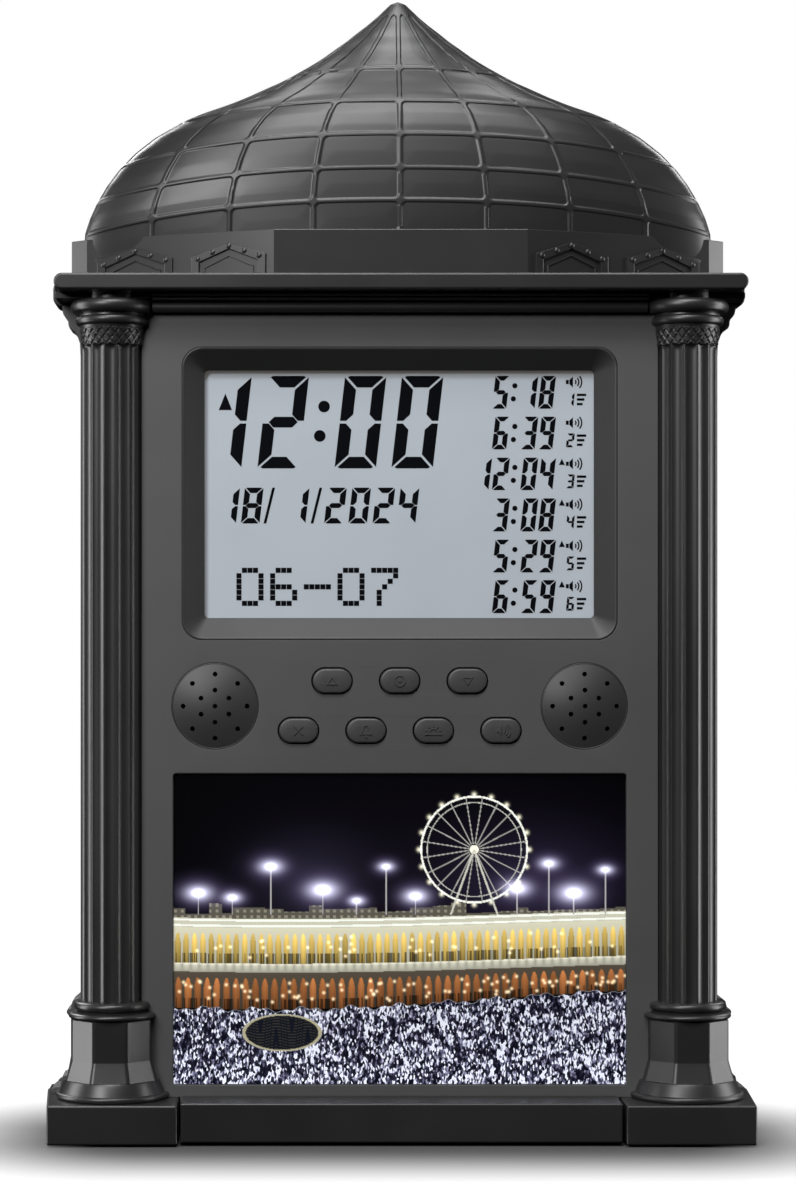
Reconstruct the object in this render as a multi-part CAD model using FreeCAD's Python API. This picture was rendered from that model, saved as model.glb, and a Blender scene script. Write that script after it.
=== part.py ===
import FreeCAD, Part
import math, os
from FreeCAD import Vector as V

# Desk and wall prayer-time clock in the shape of a domed gateway: ogee dome on a
# faceted parapet, cornice, two fluted columns on octagonal pedestals, a panel with
# a display, seven keys, two loudspeakers and a picture, and a rear cover that
# carries the cells.
# Millimetres. +X to the viewer's right, front towards -Y, +Z up. The origin is at
# the centre of the underside, on the surface that the rubber feet stand on.
# While it is being built, Y holds the depth behind the plinth fronts; every piece
# is shifted into the final frame when it is written.

# ---------------------------------------------------------------- driving sizes
DEPTH = 50.0            # plinth front to rear face
FOOT_PROUD = 0.6        # rubber feet stand this far below the plinths
WALL = 2.4              # moulded wall thickness
REAR_SPLIT = 40.0       # depth of the joint between front mouldings and rear cover
PANEL_D = 19.0          # depth of the panel's front face
PANEL_T = 2.4
PANEL_HALF = 85.2       # panel half width between the columns
HOUSING_D = 26.0        # depth where the full-width housing starts, behind the columns
HOUSING_TOP = 278.0

PLINTH_IN = 72.8        # inner and outer edges of a plinth's front face
PLINTH_OUT = 115.0
PLINTH_OUT_REAR = 117.8 # the plinths flare towards the back
PLINTH_H = 13.0

COL_X = 94.9            # column axis
COL_D = 20.0
COL_R = 9.74
FLUTES = 14
FLUTE_R = 1.55

CORNICE_Z0, CORNICE_Z1 = 278.0, 283.4
PARAPET_TOP = 298.1
PARAPET_PLAN = [(41.5, 10.0), (72.3, 20.6), (104.3, 35.5), (109.7, 40.0)]
DOME_EDGE_D = 38.0      # depth of the dome's side edges
DOME_FRONT = 14.2       # depth of the dome's front at its foot
DOME_PROFILE = [        # height, half width
    (283.4, 105.6), (292.0, 105.5), (300.4, 105.1), (308.4, 102.2), (316.5, 97.7),
    (321.9, 93.6), (327.2, 88.4), (332.6, 81.5), (338.0, 72.1), (343.4, 57.8),
    (348.8, 44.9), (354.1, 34.0), (359.5, 24.9), (364.9, 17.3), (370.3, 10.4),
    (375.0, 5.0), (378.2, 1.5)]

DISP_Z = 212.1          # display centre height
DISP_OUT = (143.7, 96.7, 6.6)   # recess mouth: width, height, corner radius
DISP_WIN = (129.0, 82.0, 1.6)   # window at the bottom of the recess
DISP_RECESS = 5.0

PIC_Z0, PIC_Z1, PIC_HALF = 17.0, 119.9, 74.85
KEY_W, KEY_H = 12.9, 8.1
KEY_GAP = 0.42
KEY_PROUD = 1.2
KEY_TRAVEL = 0.8
KEYS = {                # name: (x, z)
    "button_up": (-22.3, 150.3), "button_set": (0.0, 150.3), "button_down": (22.3, 150.3),
    "button_exit": (-33.4, 133.9), "button_alarm": (-11.1, 133.9),
    "button_prayer": (11.1, 133.9), "button_sound": (33.4, 133.9)}

SPK_X, SPK_Z, SPK_R = 60.9, 142.0, 14.35

CELL_R, CELL_L = 7.15, 50.5
CELL_PITCH = 15.2
BAY_X, BAY_Z0, BAY_Z1, BAY_D0 = 29.2, 38.0, 84.2, 33.0
DOOR_X, DOOR_Z0, DOOR_Z1 = 31.0, 36.6, 85.6
DOOR_D0, DOOR_D1 = 47.8, 49.8

KEYHOLE_X, KEYHOLE_Z, KEYHOLE_R, KEYHOLE_SLOT = 60.0, 250.0, 4.0, 4.0

# ---------------------------------------------------------------- helpers
def box(x0, x1, d0, d1, z0, z1):
    return Part.makeBox(x1 - x0, d1 - d0, z1 - z0, V(x0, d0, z0))

def cyl_d(x, z, r, d0, d1):
    return Part.makeCylinder(r, d1 - d0, V(x, d0, z), V(0, 1, 0))

def cyl_x(d, z, r, x0, x1):
    return Part.makeCylinder(r, x1 - x0, V(x0, d, z), V(1, 0, 0))

def cyl_z(x, d, r, z0, z1):
    return Part.makeCylinder(r, z1 - z0, V(x, d, z0), V(0, 0, 1))

def poly_face_xz(pts, d):
    w = Part.makePolygon([V(x, d, z) for x, z in pts + [pts[0]]])
    return Part.Face(w)

def prism_xz(pts, d0, d1):
    return poly_face_xz(pts, d0).extrude(V(0, d1 - d0, 0))

def prism_xd(pts, z0, z1):
    w = Part.makePolygon([V(x, d, z0) for x, d in pts + [pts[0]]])
    return Part.Face(w).extrude(V(0, 0, z1 - z0))

def rrect_wire(cx, cz, w, h, r, d):
    x0, x1, z0, z1 = cx - w / 2, cx + w / 2, cz - h / 2, cz + h / 2
    k = r * (1 - math.sqrt(0.5))
    e = [Part.makeLine(V(x0 + r, d, z0), V(x1 - r, d, z0)),
         Part.Arc(V(x1 - r, d, z0), V(x1 - k, d, z0 + k), V(x1, d, z0 + r)).toShape(),
         Part.makeLine(V(x1, d, z0 + r), V(x1, d, z1 - r)),
         Part.Arc(V(x1, d, z1 - r), V(x1 - k, d, z1 - k), V(x1 - r, d, z1)).toShape(),
         Part.makeLine(V(x1 - r, d, z1), V(x0 + r, d, z1)),
         Part.Arc(V(x0 + r, d, z1), V(x0 + k, d, z1 - k), V(x0, d, z1 - r)).toShape(),
         Part.makeLine(V(x0, d, z1 - r), V(x0, d, z0 + r)),
         Part.Arc(V(x0, d, z0 + r), V(x0 + k, d, z0 + k), V(x0 + r, d, z0)).toShape()]
    return Part.Wire(e)

def rrect(cx, cz, w, h, r, d0, d1):
    return Part.Face(rrect_wire(cx, cz, w, h, r, d0)).extrude(V(0, d1 - d0, 0))

def stadium(cx, cz, w, h, d0, d1):
    r = h / 2.0
    a = w / 2.0 - r
    e = [Part.makeLine(V(cx - a, d0, cz - r), V(cx + a, d0, cz - r)),
         Part.Arc(V(cx + a, d0, cz - r), V(cx + a + r, d0, cz), V(cx + a, d0, cz + r)).toShape(),
         Part.makeLine(V(cx + a, d0, cz + r), V(cx - a, d0, cz + r)),
         Part.Arc(V(cx - a, d0, cz + r), V(cx - a - r, d0, cz), V(cx - a, d0, cz - r)).toShape()]
    return Part.Face(Part.Wire(e)).extrude(V(0, d1 - d0, 0))

def revolve_z(pts, x, d):
    """Closed (radius, height) outline turned about the vertical line at x, depth d."""
    w = Part.makePolygon([V(x + r, d, z) for r, z in pts + [pts[0]]])
    return Part.Face(w).revolve(V(x, d, 0), V(0, 0, 1), 360)

def revolve_d(pts, x, z):
    """Closed (radius, depth) outline turned about the line along Y at x, z."""
    w = Part.makePolygon([V(x + r, d, z) for r, d in pts + [pts[0]]])
    return Part.Face(w).revolve(V(x, 0, z), V(0, 1, 0), 360)

def fuse(shapes):
    s = shapes[0]
    if len(shapes) > 1:
        s = s.multiFuse(shapes[1:])
    return s.removeSplitter()

def mirror_x(s):
    return s.mirror(V(0, 0, 0), V(1, 0, 0))

def bump(r, z0, z1, depth, n=8):
    """Half-round bead between z0 and z1 that stands out from radius r by depth."""
    return [(r + depth * math.sin(math.pi * i / n), z0 + (z1 - z0) * (1 - math.cos(math.pi * i / n)) / 2)
            for i in range(n + 1)]

parts = {}

# ---------------------------------------------------------------- side outline
# Half width of the housing against height. It repeats the columns' mouldings.
SIDE = [(0.0, 72.4), (PLINTH_H, 72.4), (PLINTH_H, 114.8), (13.7, 115.4), (14.6, 115.4), (15.3, 114.6), (15.5, 112.6),
        (16.4, 112.4), (19.0, 111.8), (19.4, 110.2), (25.7, 109.0), (39.1, 109.0), (39.3, 109.9), (39.9, 110.4), (40.7, 110.4),
        (41.3, 109.9), (41.6, 109.0), (42.3, 108.9), (43.9, 108.5), (44.8, 107.4), (45.0, 105.8), (258.0, 105.8),
        (262.4, 106.0), (265.0, 106.9), (266.4, 107.8), (266.8, 108.6), (267.4, 109.4), (268.4, 109.8), (269.6, 109.9),
        (270.4, 110.2), (271.2, 110.8), (272.4, 111.4), (273.6, 111.8), (274.4, 112.4), (275.0, 113.4), (275.8, 114.2),
        (276.8, 114.8), (HOUSING_TOP, 115.0)]

def side_outline(half):
    right = [(w, z) for z, w in half]
    left = [(-w, z) for z, w in reversed(half)]
    return right + left

def inset_face(face, t):
    f = face.makeOffset2D(-t, 2, False, False, False)
    return f if f.ShapeType == "Face" else Part.Face(f.Wires[0])

housing_outer = prism_xz(side_outline(SIDE), HOUSING_D, REAR_SPLIT)

# ---------------------------------------------------------------- front housing
INNER = [(WALL, 70.0), (PLINTH_H + WALL, 70.0), (PLINTH_H + WALL, 107.0), (39.1, 106.4),
         (44.8, 105.6), (47.2, 103.4), (258.2, 103.4), (270.4, 106.8), (HOUSING_TOP - WALL, 106.8)]
body = fuse([housing_outer,
             box(-PANEL_HALF, PANEL_HALF, PANEL_D, HOUSING_D, PLINTH_H, HOUSING_TOP),
             box(-PLINTH_IN + 0.4, PLINTH_IN - 0.4, PANEL_D, HOUSING_D, 0.0, PLINTH_H)])
cav = fuse([prism_xz(side_outline(INNER), HOUSING_D + WALL, REAR_SPLIT + 1),
            box(-PANEL_HALF + WALL, PANEL_HALF - WALL, PANEL_D + PANEL_T, HOUSING_D + WALL + 1,
                PLINTH_H + WALL, HOUSING_TOP - WALL),
            box(-70.0, 70.0, PANEL_D + PANEL_T, HOUSING_D + WALL + 1, WALL, PLINTH_H + WALL + 1)])
body = body.cut(cav)
# thicker floor behind the picture pocket
body = body.fuse(box(-77.5, 77.5, PANEL_D, PANEL_D + 3.8, PLINTH_H + 1.2, 122.6))
# top opening that lets leads and bosses through to the dome
body = body.cut(box(-92.0, 92.0, 29.5, 37.0, HOUSING_TOP - WALL - 1, HOUSING_TOP + 1))
# screw bosses for the rear cover, behind the columns
BOSSES = [(97.5, 30.0), (97.5, 152.0), (97.5, 254.0)]
for bx, bz in BOSSES:
    for s in (-1, 1):
        body = body.fuse(cyl_d(s * bx, bz, 3.6, HOUSING_D + 1.0, 46.0 - 6.0))
# posts that carry the display stack and the keypad board
LCD_POSTS = [(75.6, 252.0), (75.6, 176.0)]
KEY_POSTS = [(41.0, 144.0)]
for px, pz in LCD_POSTS:
    for s in (-1, 1):
        body = body.fuse(cyl_d(s * px, pz, 2.6, PANEL_D + 1.2, 33.3))
for px, pz in KEY_POSTS:
    for s in (-1, 1):
        body = body.fuse(cyl_d(s * px, pz, 2.4, PANEL_D + 1.2, 28.2))
# picture pocket, display opening, key openings, loudspeaker openings
pic_w, pic_h, pic_cz = 2 * PIC_HALF, PIC_Z1 - PIC_Z0, (PIC_Z0 + PIC_Z1) / 2
body = body.cut(rrect(0, pic_cz, pic_w, pic_h, 1.2, PANEL_D - 1, PANEL_D + 1.6))
body = body.cut(rrect(0, DISP_Z, DISP_OUT[0], DISP_OUT[1], DISP_OUT[2], PANEL_D - 1, PANEL_D + 4))
for kx, kz in KEYS.values():
    body = body.cut(stadium(kx, kz, KEY_W + 2 * KEY_GAP, KEY_H + 2 * KEY_GAP, PANEL_D - 1, PANEL_D + 4))
for s in (-1, 1):
    body = body.cut(cyl_d(s * SPK_X, SPK_Z, SPK_R, PANEL_D - 1, PANEL_D + 4))
# pilot holes
for bx, bz in BOSSES:
    for s in (-1, 1):
        body = body.cut(cyl_d(s * bx, bz, 1.1, 29.5, 41.0))
for px, pz in LCD_POSTS:
    for s in (-1, 1):
        body = body.cut(cyl_d(s * px, pz, 0.9, 26.0, 34.0))
for px, pz in KEY_POSTS:
    for s in (-1, 1):
        body = body.cut(cyl_d(s * px, pz, 0.9, 22.0, 29.0))
parts["front_housing"] = body.removeSplitter()

# ---------------------------------------------------------------- display stack
ow, oh, orr = DISP_OUT
ww, wh, wr = DISP_WIN
d0, d1 = PANEL_D, PANEL_D + DISP_RECESS
fit = 0.05
bez_out = Part.makeLoft([rrect_wire(0, DISP_Z, ow - 2 * fit, oh - 2 * fit, orr, d0),
                         rrect_wire(0, DISP_Z, ow - 2 * fit, oh - 2 * fit, orr, d0 + PANEL_T)], True, True)
bez_skirt = rrect(0, DISP_Z, ow - 2 * fit, oh - 2 * fit, orr, d0 + PANEL_T, d1)
bez_in = Part.makeLoft([rrect_wire(0, DISP_Z, ow - 1.2, oh - 1.2, orr - 0.6, d0 - 0.01),
                        rrect_wire(0, DISP_Z, ww, wh, wr, d1 + 0.01)], True, True)
parts["lcd_bezel"] = bez_out.fuse(bez_skirt).removeSplitter().cut(bez_in)
parts["lcd_window"] = rrect(0, DISP_Z, 140.0, 93.0, 2.0, d1 + 0.05, d1 + 1.55)
parts["lcd_glass"] = box(-68.0, 68.0, d1 + 1.8, d1 + 4.6, DISP_Z - 44.5, DISP_Z + 44.5)
parts["lcd_backlight"] = box(-66.0, 66.0, d1 + 4.8, d1 + 8.2, DISP_Z - 42.0, DISP_Z + 42.0)
hold = rrect(0, DISP_Z, 145.5, 97.5, 2.0, d1 + 1.6, d1 + 8.6)
hold = hold.cut(rrect(0, DISP_Z, 137.0, 91.0, 1.0, d1 + 1.0, d1 + 5.0))
hold = hold.cut(rrect(0, DISP_Z, 133.0, 85.0, 1.0, d1 + 4.0, d1 + 10.0))
ears = [box(s * 75.6 - 3.8, s * 75.6 + 3.8, 33.35, 34.6, z - 3.8, z + 3.8) for s in (-1, 1) for z in (252.0, 176.0)]
for px, pz in LCD_POSTS:
    for s in (-1, 1):
        hold = hold.cut(cyl_d(s * px, pz, 3.0, 24.0, 34.0))
parts["lcd_holder"] = hold.removeSplitter()
parts["lcd_contact_strips"] = Part.makeCompound([
    box(-62.0, 62.0, d1 + 4.9, d1 + 9.9, DISP_Z + 42.6, DISP_Z + 44.3).cut(hold),
    box(-62.0, 62.0, d1 + 4.9, d1 + 9.9, DISP_Z - 44.3, DISP_Z - 42.6).cut(hold)])

# ---------------------------------------------------------------- main board
PCB_D = 34.0
pcb = box(-79.5, 79.5, PCB_D, PCB_D + 1.6, 167.0, 257.0)
for px, pz in LCD_POSTS:
    for s in (-1, 1):
        pcb = pcb.cut(cyl_d(s * px, pz, 1.3, PCB_D - 1, PCB_D + 3))
parts["main_board"] = pcb
PB = PCB_D + 1.6
parts["clock_chip"] = box(-9.0, 9.0, PB, PB + 2.2, 206.0, 218.0)
parts["sound_memory_chip"] = box(20.0, 28.0, PB, PB + 1.8, 186.0, 192.0)
parts["amplifier_chip"] = box(34.0, 40.0, PB, PB + 1.6, 176.0, 181.0)
parts["crystal"] = fuse([cyl_x(PB + 1.6, 224.0, 1.55, -6.0, 2.0)])
parts["capacitors"] = Part.makeCompound([cyl_d(x, z, 3.2, PB, PB + 7.0) for x, z in ((48.0, 178.0), (56.0, 178.0), (-30.0, 196.0))])
parts["board_screws"] = Part.makeCompound([
    cyl_d(s * px, pz, 2.1, PB, PB + 1.4).fuse(cyl_d(s * px, pz, 0.9, 26.2, PB)).removeSplitter()
    for px, pz in LCD_POSTS for s in (-1, 1)])

# ---------------------------------------------------------------- keypad
SW_TOP = 24.7
KP_D = SW_TOP + 3.5
kp = box(-44.0, 44.0, KP_D, KP_D + 1.6, 127.0, 157.0)
for px, pz in KEY_POSTS:
    for s in (-1, 1):
        kp = kp.cut(cyl_d(s * px, pz, 1.3, KP_D - 1, KP_D + 3))
parts["keypad_board"] = kp
parts["keypad_screws"] = Part.makeCompound([
    cyl_d(s * px, pz, 2.1, KP_D + 1.6, KP_D + 3.0).fuse(cyl_d(s * px, pz, 0.9, 22.2, KP_D + 1.6)).removeSplitter()
    for px, pz in KEY_POSTS for s in (-1, 1)])
parts["tact_switches"] = Part.makeCompound([
    box(x - 3.0, x + 3.0, SW_TOP, KP_D, z - 3.0, z + 3.0).fuse(cyl_d(x, z, 1.5, SW_TOP - 1.0, SW_TOP)).removeSplitter()
    for x, z in KEYS.values()])
for name, (kx, kz) in KEYS.items():
    cap = stadium(kx, kz, KEY_W, KEY_H, PANEL_D - KEY_PROUD, PANEL_D + PANEL_T + 0.3)
    cap = cap.makeFillet(0.7, [e for e in cap.Edges if all(abs(v.Point.y - (PANEL_D - KEY_PROUD)) < 1e-6 for v in e.Vertexes)])
    flange = stadium(kx, kz, KEY_W + 2.2, KEY_H + 2.2, PANEL_D + PANEL_T + 0.15, PANEL_D + PANEL_T + 0.95)
    stem = cyl_d(kx, kz, 2.7, PANEL_D + PANEL_T + 0.9, SW_TOP - 1.1)
    k = fuse([cap, flange, stem])
    parts[name] = k.cut(cyl_d(kx, kz, 1.85, SW_TOP - 2.3, SW_TOP))

# ---------------------------------------------------------------- loudspeakers
def grille(x, z):
    """Domed disc: 15 round holes in two rings and the centre."""
    n, rad, rise, t = 14, SPK_R - 0.08, 2.6, 1.5
    outer = [(rad * 0.93 * i / n, PANEL_D - rise * math.cos(math.pi / 2 * i / n)) for i in range(n + 1)]
    inner = [(r * 0.93, d + t) for r, d in outer]
    prof = outer + [(rad, PANEL_D), (rad, PANEL_D + 2.4)] + [(rad - 1.6, PANEL_D + 2.4), (rad - 1.6, PANEL_D + t)] \
        + [p for p in reversed(inner)]
    g = revolve_d(prof, x, z)
    holes = [cyl_d(x, z, 0.76, PANEL_D - 6, PANEL_D + 6)]
    for i in range(8):
        a = math.pi / 8 + i * math.pi / 4
        a = i * math.pi / 4
        holes.append(cyl_d(x + 10.55 * math.cos(a), z + 10.55 * math.sin(a), 0.76, PANEL_D - 6, PANEL_D + 6))
    for i in range(6):
        a = math.pi / 2 + i * math.pi / 3
        holes.append(cyl_d(x + 5.3 * math.cos(a), z + 5.3 * math.sin(a), 0.76, PANEL_D - 6, PANEL_D + 6))
    return g.cut(Part.makeCompound(holes))

for s, side in ((-1, "left"), (1, "right")):
    x, z = s * SPK_X, SPK_Z
    parts["speaker_grille_" + side] = grille(x, z)
    b = PANEL_D + PANEL_T + 0.1
    parts["speaker_frame_" + side] = revolve_d([(14.0, b), (14.0, b + 1.4), (12.8, b + 1.4), (8.6, b + 6.6), (8.6, b + 7.4),
                                                (4.0, b + 7.4), (4.0, b + 6.6), (7.8, b + 6.4), (11.8, b + 1.2), (11.8, b)], x, z)
    parts["speaker_cone_" + side] = revolve_d([(0.0, b + 2.2), (1.8, b + 2.4), (3.4, b + 3.6), (4.0, b + 4.4), (9.6, b + 1.0),
                                               (10.4, b + 0.4), (11.2, b + 0.4), (11.6, b + 0.9), (11.2, b + 1.0), (10.4, b + 1.0),
                                               (4.2, b + 5.0), (3.6, b + 5.0), (0.0, b + 3.0)], x, z)
    parts["speaker_magnet_" + side] = revolve_d([(0.0, b + 7.5), (9.0, b + 7.5), (9.0, b + 11.6), (0.0, b + 11.6)], x, z)
    clamp = fuse([revolve_d([(14.1, b), (16.0, b), (16.0, b + 2.6), (13.3, b + 2.6), (13.3, b + 1.5), (14.1, b + 1.5)], x, z),
                  box(x - 20.0, x - 15.0, b, b + 1.6, z - 3.0, z + 3.0) if s < 0 else box(x + 15.0, x + 20.0, b, b + 1.6, z - 3.0, z + 3.0)])
    parts["speaker_clamp_" + side] = clamp

# ---------------------------------------------------------------- picture
parts["picture_card"] = rrect(0, pic_cz, pic_w - 0.4, pic_h - 0.4, 1.0, PANEL_D + 1.25, PANEL_D + 1.6)
parts["picture_window"] = rrect(0, pic_cz, pic_w - 0.3, pic_h - 0.3, 1.1, PANEL_D + 0.25, PANEL_D + 1.25)

# ---------------------------------------------------------------- columns
def octagon(x, d, across, z0, z1):
    r = across / 2.0 / math.cos(math.pi / 8)
    pts = [(x + r * math.cos(math.pi / 8 + i * math.pi / 4), d + r * math.sin(math.pi / 8 + i * math.pi / 4)) for i in range(8)]
    return prism_xd(pts, z0, z1)

def octagon_wire(x, d, across, z):
    r = across / 2.0 / math.cos(math.pi / 8)
    pts = [V(x + r * math.cos(math.pi / 8 + i * math.pi / 4), d + r * math.sin(math.pi / 8 + i * math.pi / 4), z) for i in range(8)]
    return Part.makePolygon(pts + [pts[0]])

def column(x):
    d = COL_D
    base = [(0.0, PLINTH_H), (18.2, PLINTH_H)] + bump(18.2, PLINTH_H, 15.0, 0.6, 6)[1:-1] + \
           [(18.2, 15.0), (16.4, 15.2), (15.4, 16.6), (14.9, 18.4), (14.9, 19.2), (0.0, 19.2)]
    s = [revolve_z(base, x, d)]
    s.append(Part.makeLoft([octagon_wire(x, d, 28.0, 19.2), octagon_wire(x, d, 26.0, 25.7)], True, True))
    s.append(octagon(x, d, 26.0, 25.7, 39.1))
    ring = [(0.0, 39.1), (13.3, 39.1)] + bump(13.3, 39.1, 41.2, 1.1)[1:-1] + [(13.3, 41.2), (11.6, 41.4), (11.6, 41.8)] + \
        bump(11.6, 41.8, 44.8, 0.95)[1:-1] + [(11.0, 44.8), (0.0, 44.8)]
    s.append(revolve_z(ring, x, d))
    shaft = cyl_z(x, d, COL_R, 44.8, 260.6)
    fl = [cyl_z(x + (COL_R + 0.62) * math.cos(a), d + (COL_R + 0.62) * math.sin(a), FLUTE_R, 47.0, 260.0)
          for a in [math.pi / FLUTES + 2 * math.pi * i / FLUTES for i in range(FLUTES)]]
    s.append(shaft.cut(Part.makeCompound(fl)))
    cap = [(0.0, 260.6), (9.9, 260.6), (10.5, 267.4), (11.0, 267.4)] + bump(11.0, 267.4, 270.3, 1.0)[1:-1] + \
          [(11.0, 270.3), (10.6, 270.5), (10.6, 271.2), (12.0, 271.3)] + bump(12.0, 271.3, 275.5, 1.55)[1:-1] + \
          [(12.2, 275.5), (13.1, 275.9), (13.1, 278.0), (0.0, 278.0)]
    s.append(revolve_z(cap, x, d))
    c = fuse(s)
    c = c.common(box(x - 25.0, x + 25.0, -5.0, HOUSING_D, 0.0, 400.0))
    # moulded hollow, open towards the housing
    c = c.cut(cyl_z(x, d, 7.3, 16.0, 275.0))
    # clear of the panel that stands between the columns
    if x < 0:
        c = c.cut(box(-PANEL_HALF, x + 30.0, PANEL_D, HOUSING_D + 1, PLINTH_H, 279.0))
    else:
        c = c.cut(box(x - 30.0, PANEL_HALF, PANEL_D, HOUSING_D + 1, PLINTH_H, 279.0))
    return c.removeSplitter()

parts["column_left"] = column(-COL_X)
parts["column_right"] = column(COL_X)

# ---------------------------------------------------------------- plinths and base bar
pl_out = prism_xd([(PLINTH_IN, 0.0), (PLINTH_OUT, 0.0), (PLINTH_OUT_REAR, REAR_SPLIT), (PLINTH_IN, REAR_SPLIT)], 0.0, PLINTH_H)
edges = []
for e in pl_out.Edges:
    vs = [v.Point for v in e.Vertexes]
    if all(abs(p.y) < 1e-6 for p in vs) and not all(abs(p.z) < 1e-6 for p in vs):
        edges.append(e)
    elif all(abs(p.z - PLINTH_H) < 1e-6 for p in vs) and all(p.x > PLINTH_IN + 1 for p in vs):
        edges.append(e)
pl_out = pl_out.makeChamfer(0.8, edges)
pl_in = prism_xd([(PLINTH_IN + 2.2, 2.4), (PLINTH_OUT - 2.4, 2.4), (PLINTH_OUT_REAR - 2.4, REAR_SPLIT + 1), (PLINTH_IN + 2.2, REAR_SPLIT + 1)], 2.4, PLINTH_H - 2.2)
pl = pl_out.cut(pl_in)
pl = pl.cut(cyl_z(94.0, 9.0, 5.1, -1.0, 1.0))
parts["plinth_right"] = pl
parts["plinth_left"] = mirror_x(pl)

bar = box(-71.9, 71.9, 2.0, PANEL_D, 0.5, 13.5)
be = []
for e in bar.Edges:
    vs = [v.Point for v in e.Vertexes]
    if all(abs(p.y - 2.0) < 1e-6 for p in vs) and not all(abs(p.z - 0.5) < 1e-6 for p in vs):
        be.append(e)
bar = bar.makeChamfer(0.5, be)
parts["base_bar"] = bar

# ---------------------------------------------------------------- cornice
# the slab's ends are half round, and it widens a little towards the rear
slab_zc, slab_h = (CORNICE_Z0 + CORNICE_Z1) / 2, CORNICE_Z1 - CORNICE_Z0
slab = Part.makeLoft([rrect_wire(0, slab_zc, 225.6, slab_h - 0.6, 2.3, 6.2), rrect_wire(0, slab_zc, 226.8, slab_h, 2.6, 7.0)], True, True)
slab = slab.fuse(Part.makeLoft([rrect_wire(0, slab_zc, 226.8, slab_h, 2.6, 7.0), rrect_wire(0, slab_zc, 230.2, slab_h, 2.6, REAR_SPLIT)], True, True))
mould = [box(-81.0, 81.0, 9.4, PANEL_D, 275.6, CORNICE_Z0),
         box(-81.0, 81.0, 13.2, PANEL_D, 273.4, 275.6),
         box(-81.0, 81.0, 16.2, PANEL_D, 271.6, 273.4)]
cornice = fuse([slab] + mould)
cornice = cornice.cut(box(-92.0, 92.0, 29.5, 37.0, CORNICE_Z0 - 1, CORNICE_Z1 + 1))
parts["cornice"] = cornice

# ---------------------------------------------------------------- dome
def dome_depth(w):
    return (DOME_EDGE_D - DOME_FRONT) * (max(w, 0.2) / 105.6) ** 0.78

def dome_section(z, w, dep):
    e = [Part.Arc(V(-w, DOME_EDGE_D, z), V(0, DOME_EDGE_D - dep, z), V(w, DOME_EDGE_D, z)).toShape(),
         Part.makeLine(V(w, DOME_EDGE_D, z), V(w, REAR_SPLIT, z)),
         Part.makeLine(V(w, REAR_SPLIT, z), V(-w, REAR_SPLIT, z)),
         Part.makeLine(V(-w, REAR_SPLIT, z), V(-w, DOME_EDGE_D, z))]
    return Part.Wire(e)

dome_out = Part.makeLoft([dome_section(z, w, dome_depth(w)) for z, w in DOME_PROFILE], True, False)
inner = []
for z, w in DOME_PROFILE:
    if w - 2.6 < 8.0:
        break
    inner.append((z, w - 2.6, max(dome_depth(w) - 2.6, 1.2)))
inner[0] = (inner[0][0] - 1.0, inner[0][1], inner[0][2])
def dome_section_in(z, w, dep):
    e = [Part.Arc(V(-w, DOME_EDGE_D, z), V(0, DOME_EDGE_D - dep, z), V(w, DOME_EDGE_D, z)).toShape(),
         Part.makeLine(V(w, DOME_EDGE_D, z), V(w, REAR_SPLIT + 1, z)),
         Part.makeLine(V(w, REAR_SPLIT + 1, z), V(-w, REAR_SPLIT + 1, z)),
         Part.makeLine(V(-w, REAR_SPLIT + 1, z), V(-w, DOME_EDGE_D, z))]
    return Part.Wire(e)
dome_in = Part.makeLoft([dome_section_in(*p) for p in inner], True, False)
dome = dome_out.cut(dome_in)
DOME_BOSSES = [(0.0, 343.0, 24.0), (80.0, 305.0, 30.0)]
for bx, bz, bd in DOME_BOSSES:
    for s in ((1,) if bx == 0 else (-1, 1)):
        dome = dome.fuse(cyl_d(s * bx, bz, 3.6, bd, REAR_SPLIT).common(dome_out))
for bx, bz, bd in DOME_BOSSES:
    for s in ((1,) if bx == 0 else (-1, 1)):
        dome = dome.cut(cyl_d(s * bx, bz, 1.1, 30.5, 41.0))
parts["dome_shell"] = dome.removeSplitter()

# ---------------------------------------------------------------- parapet
pp = [(-x, d) for x, d in reversed(PARAPET_PLAN)] + PARAPET_PLAN
plan_outer = pp[:]
par = prism_xd(plan_outer + [(109.7, REAR_SPLIT + 0.0), (-109.7, REAR_SPLIT + 0.0)][:0], CORNICE_Z1, PARAPET_TOP)
inner_plan = [(-105.9, 40.5), (-103.2, 37.6), (-71.6, 22.9), (-41.1, 12.4), (41.1, 12.4), (71.6, 22.9), (103.2, 37.6), (105.9, 40.5)]
par = par.cut(prism_xd(inner_plan, CORNICE_Z1 - 1, PARAPET_TOP + 1))
gables = []
def facet_frame(i):
    """Frame of the i-th side facet: start, unit vector along it, outward normal, length."""
    (xa, da), (xb, db) = PARAPET_PLAN[i], PARAPET_PLAN[i + 1]
    L = math.hypot(xb - xa, db - da)
    ux, ud = (xb - xa) / L, (db - da) / L
    return xa, da, ux, ud, ud, -ux, L

for i in (0, 1):
    xa, da, ux, ud, nx, nd, L = facet_frame(i)
    def at(t, off):
        return (xa + ux * t + nx * off, da + ud * t + nd * off)
    def slabf(pts, off0, off1):
        # pts are (distance along the facet, height)
        w = Part.makePolygon([V(*(at(t, off0) + (z,))) for t, z in pts + [pts[0]]])
        return Part.Face(w).extrude(V(nx * (off1 - off0), nd * (off1 - off0), 0))
    a, b = L * 0.12, L * 0.88
    m = (a + b) / 2
    z0, zs, zt = CORNICE_Z1, CORNICE_Z1 + 4.6, CORNICE_Z1 + 8.6
    gables.append(slabf([(a, z0), (a + 2.6, z0), (a + 2.6, zs - 1.4), (m, zt - 1.6), (b - 2.6, zs - 1.4), (b - 2.6, z0), (b, z0),
                         (b, zs), (m, zt), (a, zs)], -0.3, 0.8))
par_r = fuse([par] + gables + [mirror_x(g) for g in gables])
par_r = par_r.cut(dome_out)
parts["parapet"] = par_r

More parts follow.
